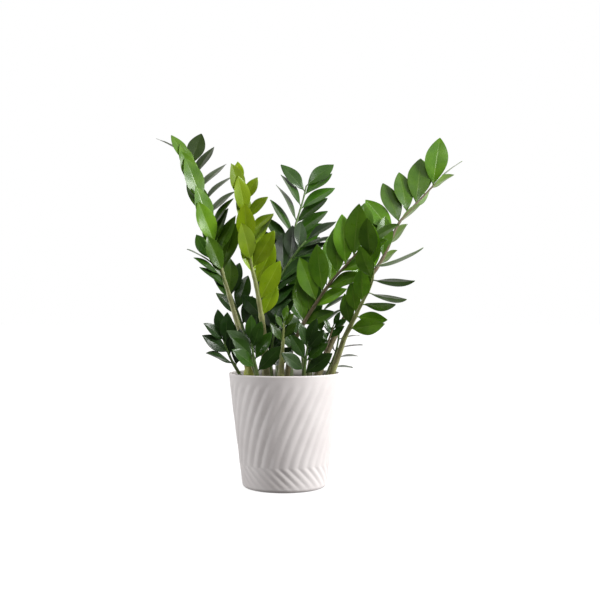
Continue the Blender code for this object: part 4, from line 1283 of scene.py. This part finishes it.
CAMERA_PLACE = (0.0335, -2.0, 0.38)
CAMERA_LENS = 55.5
CAMERA_SHIFT_Y = 1 / 60
FLOOR_SIZE = 40.0
ROOM_COLOUR = (1.0, 0.965, 0.95, 1.0)
ROOM_BRIGHT_SIDE = (0.72, 0.55, 0.42)
ROOM_RANGE = (-0.55, 0.95, 0.10, 1.15)  # between the first two it brightens from the third to the fourth
LIGHTS = (
    ("key", (1.9, -0.75, 1.3), 0.9, 42.0),
    ("front_top", (0.1, -1.6, 2.0), 0.8, 11.0),
    ("left_rim", (-1.7, -0.1, 0.45), 0.8, 17.0),
)  # name, place, size and power
LIGHT_TARGET = (0.0, 0.0, 0.35)


def add_camera():
    camera = linked("camera", bpy.data.cameras.new("camera"))
    camera.location = CAMERA_PLACE
    camera.rotation_euler = (math.radians(90), 0, 0)
    camera.data.lens = CAMERA_LENS
    camera.data.shift_y = CAMERA_SHIFT_Y
    bpy.context.scene.camera = camera


def add_area_light(name, place, size, power):
    light = linked(name, bpy.data.lights.new(name, "AREA"))
    light.data.shape = "DISK"
    light.data.size = size
    light.data.energy = power
    light.location = place
    light.rotation_euler = (Vector(LIGHT_TARGET) - Vector(place)).to_track_quat("-Z", "Y").to_euler()


def add_world():
    """A white backdrop for the camera, and a soft room that is bright behind and on the right."""
    tree = Tree("studio", bpy.data.worlds)
    bpy.context.scene.world = tree.owner
    direction = tree.add("TexCoord").outputs["Generated"]
    lean = tree.add("VectorMath", {0: direction, 1: ROOM_BRIGHT_SIDE}, operation="DOT_PRODUCT")
    strength = tree.ramp(lean.outputs["Value"], *ROOM_RANGE)
    room = tree.set(tree.nodes["Background"], {"Color": ROOM_COLOUR, "Strength": strength})
    backdrop = tree.add("Background", {"Color": WHITE})
    seen = tree.add("LightPath").outputs["Is Camera Ray"]
    mixed = tree.add("MixShader", {0: seen, 1: room.outputs[0], 2: backdrop.outputs[0]})
    tree.set(tree.nodes["World Output"], {"Surface": mixed.outputs[0]})


def add_floor():
    bm = bmesh.new()
    bmesh.ops.create_grid(bm, x_segments=1, y_segments=1, size=FLOOR_SIZE / 2)
    mesh = mesh_of(bm, "floor")
    mesh.materials.append(floor_material())
    floor = linked("floor", mesh)
    floor.visible_diffuse = False
    floor.visible_glossy = False
    floor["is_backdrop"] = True


def place_piece(piece, node, slot):
    """The piece stands for a CAD node and rides on the plant's one body."""
    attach(piece, "root")
    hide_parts(node)


def main():
    slots = {part["node"]: part["material_slot"] for part in frame["record"]["subparts"]}
    bpy.context.scene.view_settings.view_transform = "Standard"
    add_camera()
    add_world()
    for light in LIGHTS:
        add_area_light(*light)
    add_floor()
    paths = {frond.name: frond_path(frond) for frond in FRONDS}
    grown = grow(paths, [frame["nodes"][name].data for name in ("pot", "soil", "cataphyll")])
    for frond in FRONDS:
        place_piece(add_frond(frond, grown[frond.name]), frond.name, slots[frond.name])
    for name in TUBERS:
        place_piece(add_tuber(name), name, slots[name])
    place_piece(add_pot(), "pot", slots["pot"])
    place_piece(add_soil(), "soil", slots["soil"])
    place_piece(add_crumbs(), "soil", slots["soil"])
    place_piece(add_sheath(), "cataphyll", slots["cataphyll"])
    boxes = {"cad": CAD_BOX, "visual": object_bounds()}
    {name: [list(corner) for corner in box] for name, box in boxes.items()}


main()
